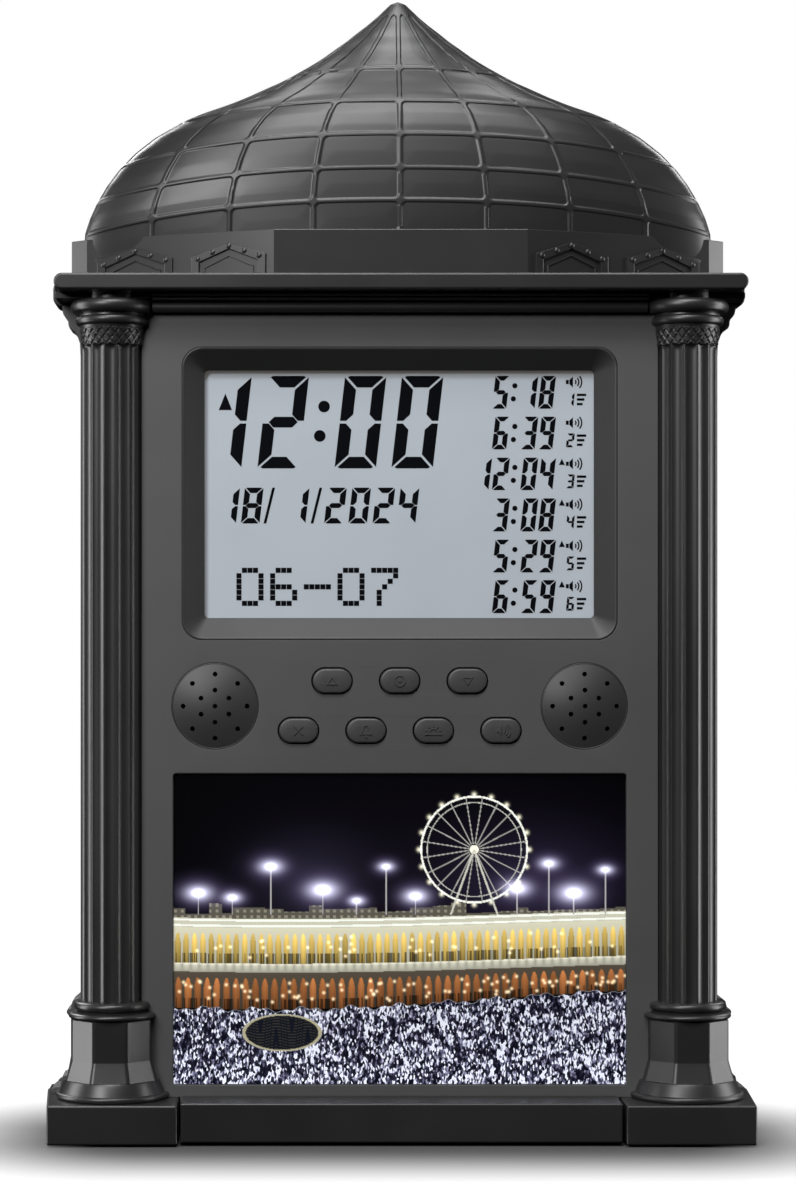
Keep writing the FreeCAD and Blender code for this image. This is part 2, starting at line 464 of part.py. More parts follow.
# ---------------------------------------------------------------- rear cover
OUT = [(0.0, 117.2), (PLINTH_H, 117.2)] + [(z, w - 0.6) for z, w in SIDE[2:]] + \
      [(CORNICE_Z0 + 0.6, 114.5), (CORNICE_Z1 - 0.6, 114.5), (CORNICE_Z1, 113.6), (CORNICE_Z1 + 0.2, 109.0),
       (PARAPET_TOP - 0.3, 109.0), (PARAPET_TOP - 0.3, 104.8)]
OUT += [(z - 0.3, w - 0.6) for z, w in DOME_PROFILE[2:-1]] + [(377.3, 1.6)]
INN = [(WALL, 114.6), (PLINTH_H - WALL, 114.6), (PLINTH_H + 2.0, 106.4), (39.1, 105.8), (47.2, 102.6), (258.2, 102.6),
       (268.0, 104.5), (276.0, 108.0), (CORNICE_Z1 - 1.0, 108.0), (PARAPET_TOP - 2.6, 104.0)]
INN += [(z - 1.2, w - 3.4) for z, w in DOME_PROFILE[3:] if w > 14.0]
cover = prism_xz(side_outline(OUT), REAR_SPLIT, DEPTH)
cover = cover.cut(prism_xz(side_outline(INN), REAR_SPLIT - 1, DEPTH - WALL))
# softened rear rim
rim = [e for e in cover.Edges if all(abs(v.Point.y - DEPTH) < 1e-6 for v in e.Vertexes)]
# battery bay: walls, floor and the ledge that the door lies on
bay = box(-BAY_X - 2, BAY_X + 2, BAY_D0 - 2, DEPTH - WALL, BAY_Z0 - 2, BAY_Z1 + 2)
ledge = box(-BAY_X - 5, BAY_X + 5, DEPTH - WALL - 2.2, DEPTH - WALL, BAY_Z0 - 5, BAY_Z1 + 5)
cover = cover.fuse(bay).fuse(ledge)
cover = cover.cut(box(-BAY_X, BAY_X, BAY_D0, DEPTH + 1, BAY_Z0, BAY_Z1))
cover = cover.cut(box(-DOOR_X - 0.4, DOOR_X + 0.4, DOOR_D0 - 0.25, DEPTH + 1, DOOR_Z0 - 0.4, DOOR_Z1 + 0.6))
# room for the door's top edge to turn
cover = cover.cut(box(-DOOR_X - 0.4, DOOR_X + 0.4, DOOR_D0 - 0.8, DOOR_D0 + 0.1, DOOR_Z1 - 2.6, DOOR_Z1 + 0.6))
TONGUES = (17.0, 7.0)      # centre x and width of the two door tongues
for s in (-1, 1):
    cover = cover.cut(box(s * TONGUES[0] - TONGUES[1] / 2 - 0.5, s * TONGUES[0] + TONGUES[1] / 2 + 0.5, 44.6, DOOR_D0, BAY_Z1 - 1, DOOR_Z1 + 2.2))
# thumb notch under the door
cover = cover.cut(cyl_x(DEPTH + 3.2, DOOR_Z0 - 0.6, 5.0, -8.0, 8.0).common(box(-8, 8, 40, 60, DOOR_Z0 - 6, DOOR_Z0)))
# screw tubes and counterbores
SCREWS = [(s * bx, bz) for bx, bz in BOSSES for s in (-1, 1)] + [(0.0, 343.0), (-80.0, 305.0), (80.0, 305.0)]
for x, z in SCREWS:
    cover = cover.fuse(cyl_d(x, z, 4.2, REAR_SPLIT + 0.3, DEPTH - 1.0))
for x, z in SCREWS:
    cover = cover.cut(cyl_d(x, z, 1.7, REAR_SPLIT - 1, DEPTH + 1))
    cover = cover.cut(cyl_d(x, z, 3.1, REAR_SPLIT + 3.0, DEPTH + 1))
# keyholes for wall hanging
for s in (-1, 1):
    x = s * KEYHOLE_X
    cover = cover.cut(cyl_d(x, KEYHOLE_Z, KEYHOLE_R, DEPTH - WALL - 1, DEPTH + 1))
    cover = cover.cut(box(x - KEYHOLE_SLOT / 2, x + KEYHOLE_SLOT / 2, DEPTH - WALL - 1, DEPTH + 1, KEYHOLE_Z, KEYHOLE_Z + 8.0))
    cover = cover.cut(cyl_d(x, KEYHOLE_Z + 8.0, KEYHOLE_SLOT / 2, DEPTH - WALL - 1, DEPTH + 1))
# ventilation and sound slots behind the loudspeakers
for s in (-1, 1):
    for i in range(5):
        z = 130.0 + i * 6.0
        cover = cover.cut(rrect(s * SPK_X, z, 26.0, 2.2, 1.05, DEPTH - WALL - 1, DEPTH + 1))
# shallow seats for the rear feet
for s in (-1, 1):
    cover = cover.cut(cyl_z(s * 94.0, 44.6, 4.1, -1.0, 1.0))
parts["rear_cover"] = cover.removeSplitter()

parts["case_screws"] = Part.makeCompound([
    fuse([cyl_d(x, z, 2.8, REAR_SPLIT + 3.0, REAR_SPLIT + 5.2), cyl_d(x, z, 1.1, REAR_SPLIT - 8.0, REAR_SPLIT + 3.0)])
    .cut(box(x - 2.0, x + 2.0, REAR_SPLIT + 4.2, REAR_SPLIT + 6, z - 0.35, z + 0.35))
    .cut(box(x - 0.35, x + 0.35, REAR_SPLIT + 4.2, REAR_SPLIT + 6, z - 2.0, z + 2.0)) for x, z in SCREWS])

# ---------------------------------------------------------------- battery door and cells
door = box(-DOOR_X, DOOR_X, DOOR_D0, DOOR_D1, DOOR_Z0, DOOR_Z1)
for s in (-1, 1):
    xa, xb = s * TONGUES[0] - TONGUES[1] / 2, s * TONGUES[0] + TONGUES[1] / 2
    door = door.fuse(box(xa, xb, DOOR_D0 - 1.9, DOOR_D0 - 0.5, DOOR_Z1 - 3.0, DOOR_Z1 + 1.4))
    door = door.fuse(box(xa, xb, DOOR_D0 - 0.6, DOOR_D0 + 0.1, DOOR_Z1 - 3.0, DOOR_Z1 - 1.8))
for i in range(6):
    z = DOOR_Z0 + 5.0 + i * 2.2
    door = door.cut(box(-9.0, 9.0, DOOR_D1 - 0.5, DOOR_D1 + 1, z, z + 1.0))
parts["battery_door"] = door.removeSplitter()
DOOR_AXIS = (48.9, DOOR_Z1 - 0.9)

cz0 = (BAY_Z0 + BAY_Z1) / 2
for i in range(3):
    z = cz0 + (i - 1) * CELL_PITCH
    flip = -1 if i % 2 else 1
    x0 = -CELL_L / 2 + 0.4 * flip
    dcell = BAY_D0 + CELL_R + 0.15
    bodyc = cyl_x(dcell, z, CELL_R, -24.6, 24.4)
    nub = cyl_x(dcell, z, 2.7, 24.4, 25.9)
    c = bodyc.fuse(nub).removeSplitter()
    if flip < 0:
        c = mirror_x(c)
    parts["battery_cell_%d" % (i + 1)] = c

springs, plates = [], []
for i in range(3):
    z = cz0 + (i - 1) * CELL_PITCH
    flip = -1 if i % 2 else 1
    dc = BAY_D0 + CELL_R + 0.15
    # leaf spring at the flat end: back plate and a sprung tongue
    p = fuse([box(-BAY_X + 0.05, -BAY_X + 0.45, BAY_D0 + 0.5, BAY_D0 + 14.0, z - 5.5, z + 5.5),
              prism_xd([(-BAY_X + 0.4, BAY_D0 + 2.0), (-BAY_X + 0.4, BAY_D0 + 2.5), (-24.8, dc), (-BAY_X + 0.4, BAY_D0 + 12.2),
                        (-BAY_X + 0.4, BAY_D0 + 11.7), (-25.3, dc)], z - 2.5, z + 2.5)])
    q = fuse([box(BAY_X - 0.45, BAY_X - 0.05, BAY_D0 + 0.5, BAY_D0 + 14.0, z - 5.5, z + 5.5),
              cyl_x(dc, z, 3.2, 26.0, BAY_X - 0.3)])
    if flip < 0:
        p, q = mirror_x(p), mirror_x(q)
    springs.append(p)
    plates.append(q)
parts["battery_springs"] = Part.makeCompound(springs)
parts["battery_contacts"] = Part.makeCompound(plates)

# ---------------------------------------------------------------- rubber feet
feet = []
for s in (-1, 1):
    f = cyl_z(s * 94.0, 9.0, 5.0, -FOOT_PROUD, 1.0)
    feet.append(f)
    feet.append(cyl_z(s * 94.0, 44.6, 4.0, -FOOT_PROUD, 1.0))
parts["rubber_feet"] = Part.makeCompound(feet)

# ---------------------------------------------------------------- inside leads
def lead(pts, r):
    """Round lead along straight runs joined by tangent arcs."""
    P = [V(*p) for p in pts]
    edges, cur = [], P[0]
    for i in range(1, len(P) - 1):
        a, b, c = P[i - 1], P[i], P[i + 1]
        u, v = (a - b), (c - b)
        lu, lv = u.Length, v.Length
        u.normalize(); v.normalize()
        turn = math.pi - u.getAngle(v)
        rad = 0.45 * min(lu, lv) / math.tan(turn / 2)
        t = 0.45 * min(lu, lv)
        p1, p2 = b + u * t, b + v * t
        bis = (u + v); bis.normalize()
        h = rad / math.cos(turn / 2)
        cen = b + bis * h
        mid = cen - bis * rad
        edges.append(Part.makeLine(cur, p1))
        edges.append(Part.Arc(p1, mid, p2).toShape())
        cur = p2
    edges.append(Part.makeLine(cur, P[-1]))
    w = Part.Wire(edges)
    t0 = (P[1] - P[0]); t0.normalize()
    prof = Part.Wire([Part.makeCircle(r, P[0], t0)])
    return w.makePipeShell([prof], True, False)

for s, side in ((-1, "left"), (1, "right")):
    parts["speaker_lead_" + side] = lead([(s * 60.9, 33.15, 142.0), (s * 60.9, 38.0, 142.5), (s * 61.6, 38.6, 150.0), (s * 63.0, 37.8, 160.0),
                                          (s * 64.4, 36.7, 168.0), (s * 65.2, 36.5, 174.0)], 0.7)
parts["battery_lead"] = lead([(-20.0, 36.5, BAY_Z1 + 2.2), (-20.0, 37.6, 98.0), (-26.0, 36.4, 118.0), (-30.0, 37.2, 140.0),
                              (-29.0, 37.8, 158.0), (-28.4, 36.6, 168.0), (-28.0, 36.5, 174.0)], 0.8)
parts["keypad_ribbon"] = fuse([box(-6.0, 6.0, KP_D + 1.6, KP_D + 3.0, 150.0, 156.0),
                               box(-6.0, 6.0, KP_D + 2.2, KP_D + 2.6, 155.5, 163.0),
                               box(-6.0, 6.0, KP_D + 2.2, PCB_D + 3.0, 162.6, 163.0),
                               box(-6.0, 6.0, PCB_D + 2.6, PCB_D + 3.0, 162.6, 171.0),
                               box(-6.0, 6.0, PB, PCB_D + 3.2, 169.0, 174.0)])

# ---------------------------------------------------------------- write
os.makedirs("parts", exist_ok=True)
shift = V(0, -DEPTH / 2.0, FOOT_PROUD)
for name, shape in parts.items():
    s = shape.copy()
    s.translate(shift)
    s.exportStep("parts/%s.step" % name)
    print(name, "valid", s.isValid(), "solids", len(s.Solids), "vol %.1f" % s.Volume,
          "box [%.1f %.1f %.1f] [%.1f %.1f %.1f]" % (s.BoundBox.XMin, s.BoundBox.YMin, s.BoundBox.ZMin,
                                                     s.BoundBox.XMax, s.BoundBox.YMax, s.BoundBox.ZMax))
print("nodes", len(parts))
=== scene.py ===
import bpy, bmesh, math
import numpy as np
from mathutils import Vector, Matrix
from mathutils.geometry import tessellate_polygon


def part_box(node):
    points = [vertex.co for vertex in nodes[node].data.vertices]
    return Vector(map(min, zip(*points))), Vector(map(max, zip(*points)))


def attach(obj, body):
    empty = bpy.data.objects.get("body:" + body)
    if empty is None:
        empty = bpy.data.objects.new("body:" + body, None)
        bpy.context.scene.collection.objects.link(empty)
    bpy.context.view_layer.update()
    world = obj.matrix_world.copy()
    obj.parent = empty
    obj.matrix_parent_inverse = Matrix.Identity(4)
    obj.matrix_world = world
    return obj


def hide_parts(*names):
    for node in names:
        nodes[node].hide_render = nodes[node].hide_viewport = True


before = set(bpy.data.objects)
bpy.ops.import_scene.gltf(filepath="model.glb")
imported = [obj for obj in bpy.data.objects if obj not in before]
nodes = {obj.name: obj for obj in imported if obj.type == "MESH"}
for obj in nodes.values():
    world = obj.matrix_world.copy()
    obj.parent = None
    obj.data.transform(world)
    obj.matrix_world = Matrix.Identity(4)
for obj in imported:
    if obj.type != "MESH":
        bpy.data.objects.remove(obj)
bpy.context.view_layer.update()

ROOT = "clock_body"

# ------------------------------------------------------------------ frame
# Lengths below are millimetres: x to the viewer's right, d behind the plinth
# fronts, z above the plinths' underside, as in the construction model.
def W(x, d, z):
    return (x * 0.001, (d - 25.0) * 0.001, (z + 0.6) * 0.001)

# the camera stands 970 mm in front of the plinths, a little left of the middle
CAM_X, CAM_D, CAM_Z, PX = -36.2, -970.0, 157.2, 0.3235
def from_photo(px, py, d):
    """Point on the plane at depth d that shows at this pixel of the 796 x 1200 frame."""
    s = PX * (1 + d / 970.0)
    return (px - 290.0) * s + CAM_X, CAM_Z + (660.0 - py) * s

cam_data = bpy.data.cameras.new("photo_camera")
cam = bpy.data.objects.new("photo_camera", cam_data)
bpy.context.scene.collection.objects.link(cam)
cam.location = W(CAM_X, CAM_D, CAM_Z)
cam.rotation_euler = (math.radians(90), 0, 0)
cam_data.sensor_fit = "VERTICAL"
cam_data.sensor_height = 36.0
cam_data.lens = 36.0 * 970.0 / (PX * 1200.0)
cam_data.shift_x = (398.0 - 290.0) / 1200.0
cam_data.shift_y = (660.0 - 600.0) / 1200.0
cam_data.clip_start, cam_data.clip_end = 0.02, 30.0
bpy.context.scene.camera = cam
bpy.context.scene.view_settings.view_transform = "Standard"

# ------------------------------------------------------------------ materials
def nt(m):
    m.use_nodes = True
    m.node_tree.nodes.clear()
    return m.node_tree.nodes, m.node_tree.links

def plastic(name, col, rough, grain=2600.0, grain_d=0.000012, mottle=0.10, rough_var=0.07, spec=0.5, coat=0.0, bevel=0.0, glow=None):
    """Moulded plastic: fine spark texture, slight mottling, uneven gloss."""
    m = bpy.data.materials.new(name)
    N, L = nt(m)
    out = N.new("ShaderNodeOutputMaterial")
    b = N.new("ShaderNodeBsdfPrincipled")
    tc = N.new("ShaderNodeTexCoord")
    n1 = N.new("ShaderNodeTexNoise"); n1.inputs["Scale"].default_value = grain; n1.inputs["Detail"].default_value = 3
    n2 = N.new("ShaderNodeTexNoise"); n2.inputs["Scale"].default_value = 38.0; n2.inputs["Detail"].default_value = 5
    n3 = N.new("ShaderNodeTexNoise"); n3.inputs["Scale"].default_value = 11.0; n3.inputs["Detail"].default_value = 4
    for n in (n1, n2, n3):
        L.new(tc.outputs["Object"], n.inputs["Vector"])
    cr = N.new("ShaderNodeValToRGB")
    c0 = [c * (1 - mottle) for c in col[:3]] + [1]
    c1 = [min(1, c * (1 + mottle)) for c in col[:3]] + [1]
    cr.color_ramp.elements[0].position, cr.color_ramp.elements[0].color = 0.3, c0
    cr.color_ramp.elements[1].position, cr.color_ramp.elements[1].color = 0.7, c1
    L.new(n2.outputs["Fac"], cr.inputs["Fac"])
    L.new(cr.outputs["Color"], b.inputs["Base Color"])
    mr = N.new("ShaderNodeMapRange")
    mr.inputs["From Min"].default_value, mr.inputs["From Max"].default_value = 0.3, 0.7
    mr.inputs["To Min"].default_value, mr.inputs["To Max"].default_value = rough - rough_var, rough + rough_var
    L.new(n3.outputs["Fac"], mr.inputs["Value"])
    L.new(mr.outputs["Result"], b.inputs["Roughness"])
    bp = N.new("ShaderNodeBump"); bp.inputs["Strength"].default_value = 0.6; bp.inputs["Distance"].default_value = grain_d
    L.new(n1.outputs["Fac"], bp.inputs["Height"])
    if bevel > 0:
        bv = N.new("ShaderNodeBevel"); bv.samples = 6; bv.inputs["Radius"].default_value = bevel
        L.new(bv.outputs["Normal"], bp.inputs["Normal"])
    L.new(bp.outputs["Normal"], b.inputs["Normal"])
    b.inputs["Specular IOR Level"].default_value = spec
    # glow is emission on the surface itself: painted light that makes the face look lit, not a lamp
    if glow:
        b.inputs["Emission Color"].default_value = (*glow, 1)
        b.inputs["Emission Strength"].default_value = 1.0
    if coat:
        b.inputs["Coat Weight"].default_value = coat
        b.inputs["Coat Roughness"].default_value = 0.2
    L.new(b.outputs["BSDF"], out.inputs["Surface"])
    return m

def metal(name, col, rough, grain=900.0):
    m = bpy.data.materials.new(name)
    N, L = nt(m)
    out = N.new("ShaderNodeOutputMaterial"); b = N.new("ShaderNodeBsdfPrincipled"); tc = N.new("ShaderNodeTexCoord")
    n = N.new("ShaderNodeTexNoise"); n.inputs["Scale"].default_value = grain; n.inputs["Detail"].default_value = 4
    L.new(tc.outputs["Object"], n.inputs["Vector"])
    cr = N.new("ShaderNodeValToRGB")
    cr.color_ramp.elements[0].color = [c * 0.85 for c in col] + [1]
    cr.color_ramp.elements[1].color = [min(1, c * 1.1) for c in col] + [1]
    L.new(n.outputs["Fac"], cr.inputs["Fac"]); L.new(cr.outputs["Color"], b.inputs["Base Color"])
    b.inputs["Metallic"].default_value = 1.0
    mr = N.new("ShaderNodeMapRange"); mr.inputs["To Min"].default_value = rough - 0.08; mr.inputs["To Max"].default_value = rough + 0.08
    L.new(n.outputs["Fac"], mr.inputs["Value"]); L.new(mr.outputs["Result"], b.inputs["Roughness"])
    L.new(b.outputs["BSDF"], out.inputs["Surface"])
    return m

def clear(name, tint=(0.96, 0.98, 1.0), rough=0.03):
    """Thin clear acrylic sheet with a faint haze of fine scratches."""
    m = bpy.data.materials.new(name)
    N, L = nt(m)
    out = N.new("ShaderNodeOutputMaterial")
    g = N.new("ShaderNodeBsdfGlossy"); g.inputs["Roughness"].default_value = rough
    t = N.new("ShaderNodeBsdfTransparent"); t.inputs["Color"].default_value = (*tint, 1)
    fr = N.new("ShaderNodeFresnel"); fr.inputs["IOR"].default_value = 1.36
    tc = N.new("ShaderNodeTexCoord")
    n = N.new("ShaderNodeTexNoise"); n.inputs["Scale"].default_value = 400.0
    L.new(tc.outputs["Object"], n.inputs["Vector"])
    bp = N.new("ShaderNodeBump"); bp.inputs["Strength"].default_value = 0.05; bp.inputs["Distance"].default_value = 0.000001
    L.new(n.outputs["Fac"], bp.inputs["Height"]); L.new(bp.outputs["Normal"], g.inputs["Normal"])
    mx = N.new("ShaderNodeMixShader")
    ge = N.new("ShaderNodeNewGeometry"); inv = N.new("ShaderNodeMath"); inv.operation = "SUBTRACT"; inv.inputs[0].default_value = 1.0
    fm = N.new("ShaderNodeMath"); fm.operation = "MULTIPLY"
    L.new(ge.outputs["Backfacing"], inv.inputs[1]); L.new(inv.outputs["Value"], fm.inputs[0]); L.new(fr.outputs["Fac"], fm.inputs[1])
    L.new(fm.outputs["Value"], mx.inputs["Fac"]); L.new(t.outputs["BSDF"], mx.inputs[1]); L.new(g.outputs["BSDF"], mx.inputs[2])
    L.new(mx.outputs["Shader"], out.inputs["Surface"])
    return m

M = {}
M["shell"] = plastic("shell_black_plastic", (0.0165, 0.0165, 0.0168), 0.36, grain=2400, grain_d=0.000010)
M["shell_cad"] = plastic("shell_black_plastic_cad", (0.0135, 0.0135, 0.0138), 0.36, grain=2400, grain_d=0.000010, bevel=0.0004)
M["grille"] = plastic("grille_satin_plastic", (0.030, 0.030, 0.0305), 0.44, grain=3000, grain_d=0.000008, mottle=0.05)
M["bezel"] = plastic("bezel_dark_plastic", (0.024, 0.024, 0.0245), 0.46, grain=3000, grain_d=0.000008, mottle=0.05)
M["panel"] = plastic("panel_grey_plastic", (0.064, 0.064, 0.0645), 0.50, grain=3000, grain_d=0.000010, mottle=0.05)
M["key"] = plastic("key_grey_plastic", (0.044, 0.044, 0.045), 0.44, grain=3000, grain_d=0.000008, mottle=0.05)
M["clear"] = clear("clear_acrylic")
M["holder"] = plastic("holder_plastic", (0.03, 0.03, 0.03), 0.5)
M["rubber"] = plastic("rubber", (0.016, 0.016, 0.016), 0.75, grain=1600, grain_d=0.00004)
M["white"] = plastic("diffuser_white", (0.8, 0.82, 0.84), 0.5)
M["pcb"] = plastic("board_green", (0.02, 0.12, 0.045), 0.4, mottle=0.25)
M["chip"] = plastic("chip_black", (0.02, 0.02, 0.022), 0.55)
M["steel"] = metal("plain_steel", (0.56, 0.56, 0.57), 0.32)
M["cell"] = plastic("cell_jacket", (0.10, 0.13, 0.20), 0.28, mottle=0.03, coat=0.4)
M["cone"] = plastic("speaker_cone_paper", (0.045, 0.045, 0.05), 0.8, grain=1500, grain_d=0.00006)
M["magnet"] = metal("magnet_plating", (0.25, 0.25, 0.26), 0.45)
M["lead_red"] = plastic("lead_red", (0.38, 0.03, 0.03), 0.4)
M["lead_grey"] = plastic("lead_grey", (0.3, 0.3, 0.32), 0.4)
M["ink"] = plastic("lcd_segment_ink", (0.003, 0.003, 0.004), 0.6, spec=0.04, mottle=0.02)
# the display face glows: painted light standing in for the light that falls on it, not the backlight
M["lcd"] = plastic("lcd_face_painted_glow", (0.43, 0.447, 0.467), 0.55, grain=5000, grain_d=0.000004, mottle=0.03, glow=(0.079, 0.071, 0.062))

def assign(o, m):
    o.data.materials.clear()
    o.data.materials.append(m)

# ------------------------------------------------------------------ mesh helpers
def make(name, verts, faces, mat, body=ROOT, angle=30.0, smooth=True, repl=(), weighted=True):
    me = bpy.data.meshes.new(name)
    me.from_pydata([tuple(v) for v in verts], [], [tuple(f) for f in faces])
    me.validate()
    bm = bmesh.new(); bm.from_mesh(me)
    bmesh.ops.remove_doubles(bm, verts=bm.verts, dist=1e-7)
    bmesh.ops.recalc_face_normals(bm, faces=bm.faces)
    bm.to_mesh(me); bm.free()
    o = bpy.data.objects.new(name, me)
    bpy.context.scene.collection.objects.link(o)
    if smooth:
        me.polygons.foreach_set("use_smooth", [True] * len(me.polygons))
        me.set_sharp_from_angle(angle=math.radians(angle))
    me.materials.append(mat)
    if smooth and weighted:
        wn = o.modifiers.new("even_faces", "WEIGHTED_NORMAL"); wn.mode = "FACE_AREA"; wn.weight = 100; wn.keep_sharp = True
    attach(o, body)
    if repl:
        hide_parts(*repl)
    return o

class Build:
    """Collects the surfaces of one piece."""
    def __init__(self):
        self.v, self.f = [], []
    def add(self, verts, faces):
        k = len(self.v)
        self.v += [tuple(p) for p in verts]
        self.f += [tuple(i + k for i in f) for f in faces]
        return self

def ccw(pts):
    a = sum(pts[i][0] * pts[(i + 1) % len(pts)][1] - pts[(i + 1) % len(pts)][0] * pts[i][1] for i in range(len(pts)))
    return pts if a > 0 else pts[::-1]

def cw(pts):
    return ccw(pts)[::-1]

def offset_in(pts, t):
    """Moves a loop by t towards its left side, with mitred corners."""
    n = len(pts)
    P = np.array(pts, float)
    nx = np.roll(P, -1, 0) - P
    ln = np.maximum(np.hypot(nx[:, 0], nx[:, 1]), 1e-9)
    nrm = np.stack([-nx[:, 1] / ln, nx[:, 0] / ln], 1)
    prv = np.roll(nrm, 1, 0)
    m = nrm + prv
    k = np.maximum((m * nrm).sum(1), 0.45)
    return P + m / k[:, None] * t

def plate(b, loops, d0, d1, bev=0.25, K=3, plane=None, bev_back=0.0):
    """A plate with holes between depths d0 and d1; the front edges are rounded."""
    plane = plane or (lambda u, v, w: W(u, w, v))
    loops = [ccw(list(loops[0]))] + [cw(list(l)) for l in loops[1:]]
    fr, bk = [], []
    for l in loops:
        rings = []
        for i in range(K + 1 if bev > 0 else 1):
            a = math.pi / 2 * i / max(K, 1)
            off = bev * (1 - math.sin(a)) if bev > 0 else 0.0
            dd = d0 + (bev * (1 - math.cos(a)) if bev > 0 else 0.0)
            rings.append((offset_in(l, off), dd))
        if bev_back > 0:
            for i in range(K + 1):
                a = math.pi / 2 * i / K
                rings.append((offset_in(l, bev_back * (1 - math.cos(a))), d1 - bev_back * (1 - math.sin(a))))
        else:
            rings.append((offset_in(l, 0.0), d1))
        n = len(l)
        base = len(b.v)
        for q, dd in rings:
            b.v += [plane(x, y, dd) for x, y in q]
        for r in range(len(rings) - 1):
            for i in range(n):
                j = (i + 1) % n
                b.f.append((base + r * n + i, base + r * n + j, base + (r + 1) * n + j, base + (r + 1) * n + i))
        fr.append((base, rings[0][0]))
        bk.append((base + (len(rings) - 1) * n, rings[-1][0]))
    for side in (fr, bk):
        idx = [s + i for s, q in side for i in range(len(q))]
        tri = tessellate_polygon([[Vector((x, y, 0)) for x, y in q] for s, q in side])
        b.f += [tuple(idx[i] for i in t) for t in tri]
    return b

def circle(cx, cz, r, n=48):
    return [(cx + r * math.cos(2 * math.pi * i / n), cz + r * math.sin(2 * math.pi * i / n)) for i in range(n)]

def stadium(cx, cz, w, h, n=16):
    r = h / 2; a = w / 2 - r
    p = [(cx + a + r * math.cos(t), cz + r * math.sin(t)) for t in np.linspace(-math.pi / 2, math.pi / 2, n)]
    p += [(cx - a + r * math.cos(t), cz + r * math.sin(t)) for t in np.linspace(math.pi / 2, 3 * math.pi / 2, n)]
    return p

def rrect(cx, cz, w, h, r, n=10):
    p = []
    for sx, sz, a0 in ((1, -1, -90), (1, 1, 0), (-1, 1, 90), (-1, -1, 180)):
        for t in np.linspace(math.radians(a0), math.radians(a0 + 90), n):
            p.append((cx + sx * (w / 2 - r) + r * math.cos(t), cz + sz * (h / 2 - r) + r * math.sin(t)))
    return p

def rect(x0, x1, z0, z1, step=8.0):
    nx, nz = max(1, int((x1 - x0) / step)), max(1, int((z1 - z0) / step))
    p = [(x, z0) for x in np.linspace(x0, x1, nx + 1)[:-1]] + [(x1, z) for z in np.linspace(z0, z1, nz + 1)[:-1]]
    p += [(x, z1) for x in np.linspace(x1, x0, nx + 1)[:-1]] + [(x0, z) for z in np.linspace(z1, z0, nz + 1)[:-1]]
    return p

def smoothstep(x, a, b):
    t = np.clip((x - a) / (b - a), 0, 1)
    return t * t * (3 - 2 * t)

def grid_faces(nr, nc, wrap=False):
    f = []
    for i in range(nr - 1):
        for j in range(nc - (0 if wrap else 1)):
            k = (j + 1) % nc
            f.append((i * nc + j, i * nc + k, (i + 1) * nc + k, (i + 1) * nc + j))
    return f

# ------------------------------------------------------------------ dome
PROF = [(283.4, 105.6), (292.0, 105.5), (300.4, 105.1), (305.7, 103.4), (311.1, 100.9), (316.5, 97.7), (321.9, 93.6), (327.2, 88.4),
        (332.6, 81.5), (338.0, 72.1), (340.7, 65.7), (343.4, 57.8), (346.1, 50.8), (348.8, 44.9), (351.4, 39.0), (354.1, 34.0),
        (356.8, 29.2), (359.5, 24.9), (362.2, 21.2), (364.9, 17.3), (367.6, 14.0), (370.3, 10.4), (373.0, 7.2), (375.7, 4.4), (377.4, 2.6), (378.2, 0.4)]
PZ = np.array([p[0] for p in PROF]); PW = np.array([p[1] for p in PROF])
def smooth_curve(zq):
    """Half width at a height, through the profile points without corners."""
    fine_z = np.linspace(PZ[0], PZ[-1], 1200)
    fine_w = np.interp(fine_z, PZ, PW)
    k = np.hanning(37); k /= k.sum()
    pad = np.concatenate([np.full(18, fine_w[0]), fine_w, np.full(18, fine_w[-1])])
    sm = np.convolve(pad, k, "valid")
    tip = smoothstep(fine_z, 374.5, 377.5)
    sm = sm * (1 - tip) + fine_w * tip
    return np.interp(zq, fine_z, sm)

def dome_surface(u, z0):
    """Surface point for u in -1..1 across and z0, the height that its level has on the middle line."""
    sag = np.interp(z0, [284, 290, 297.4, 308.3, 319.2, 330.6, 342.2, 354.4, 366, 378.2], [0, 4.0, 7.4, 8.6, 8.3, 7.6, 4.6, 1.9, 0.4, 0])
    ze = z0 - sag
    w = smooth_curve(ze)
    E = np.radians(np.interp(z0, [284, 319, 331, 342.2, 354.4, 374], [40, 42, 44, 52, 82, 89]))
    x = w * np.sin(u * E) / np.sin(E)
    s = np.clip(np.abs(x) / np.maximum(w, 1e-6), 0, 1)
    z = z0 - sag * s ** 2.4
    p = np.interp(z0, [284, 299, 312], [0.78, 0.70, 0.56])
    dep = 23.8 * (np.maximum(w, 0.2) / 105.6) ** 0.72
    d = 38.0 - dep * np.clip(1 - s ** 2, 0, 1) ** p
    return x, d, z

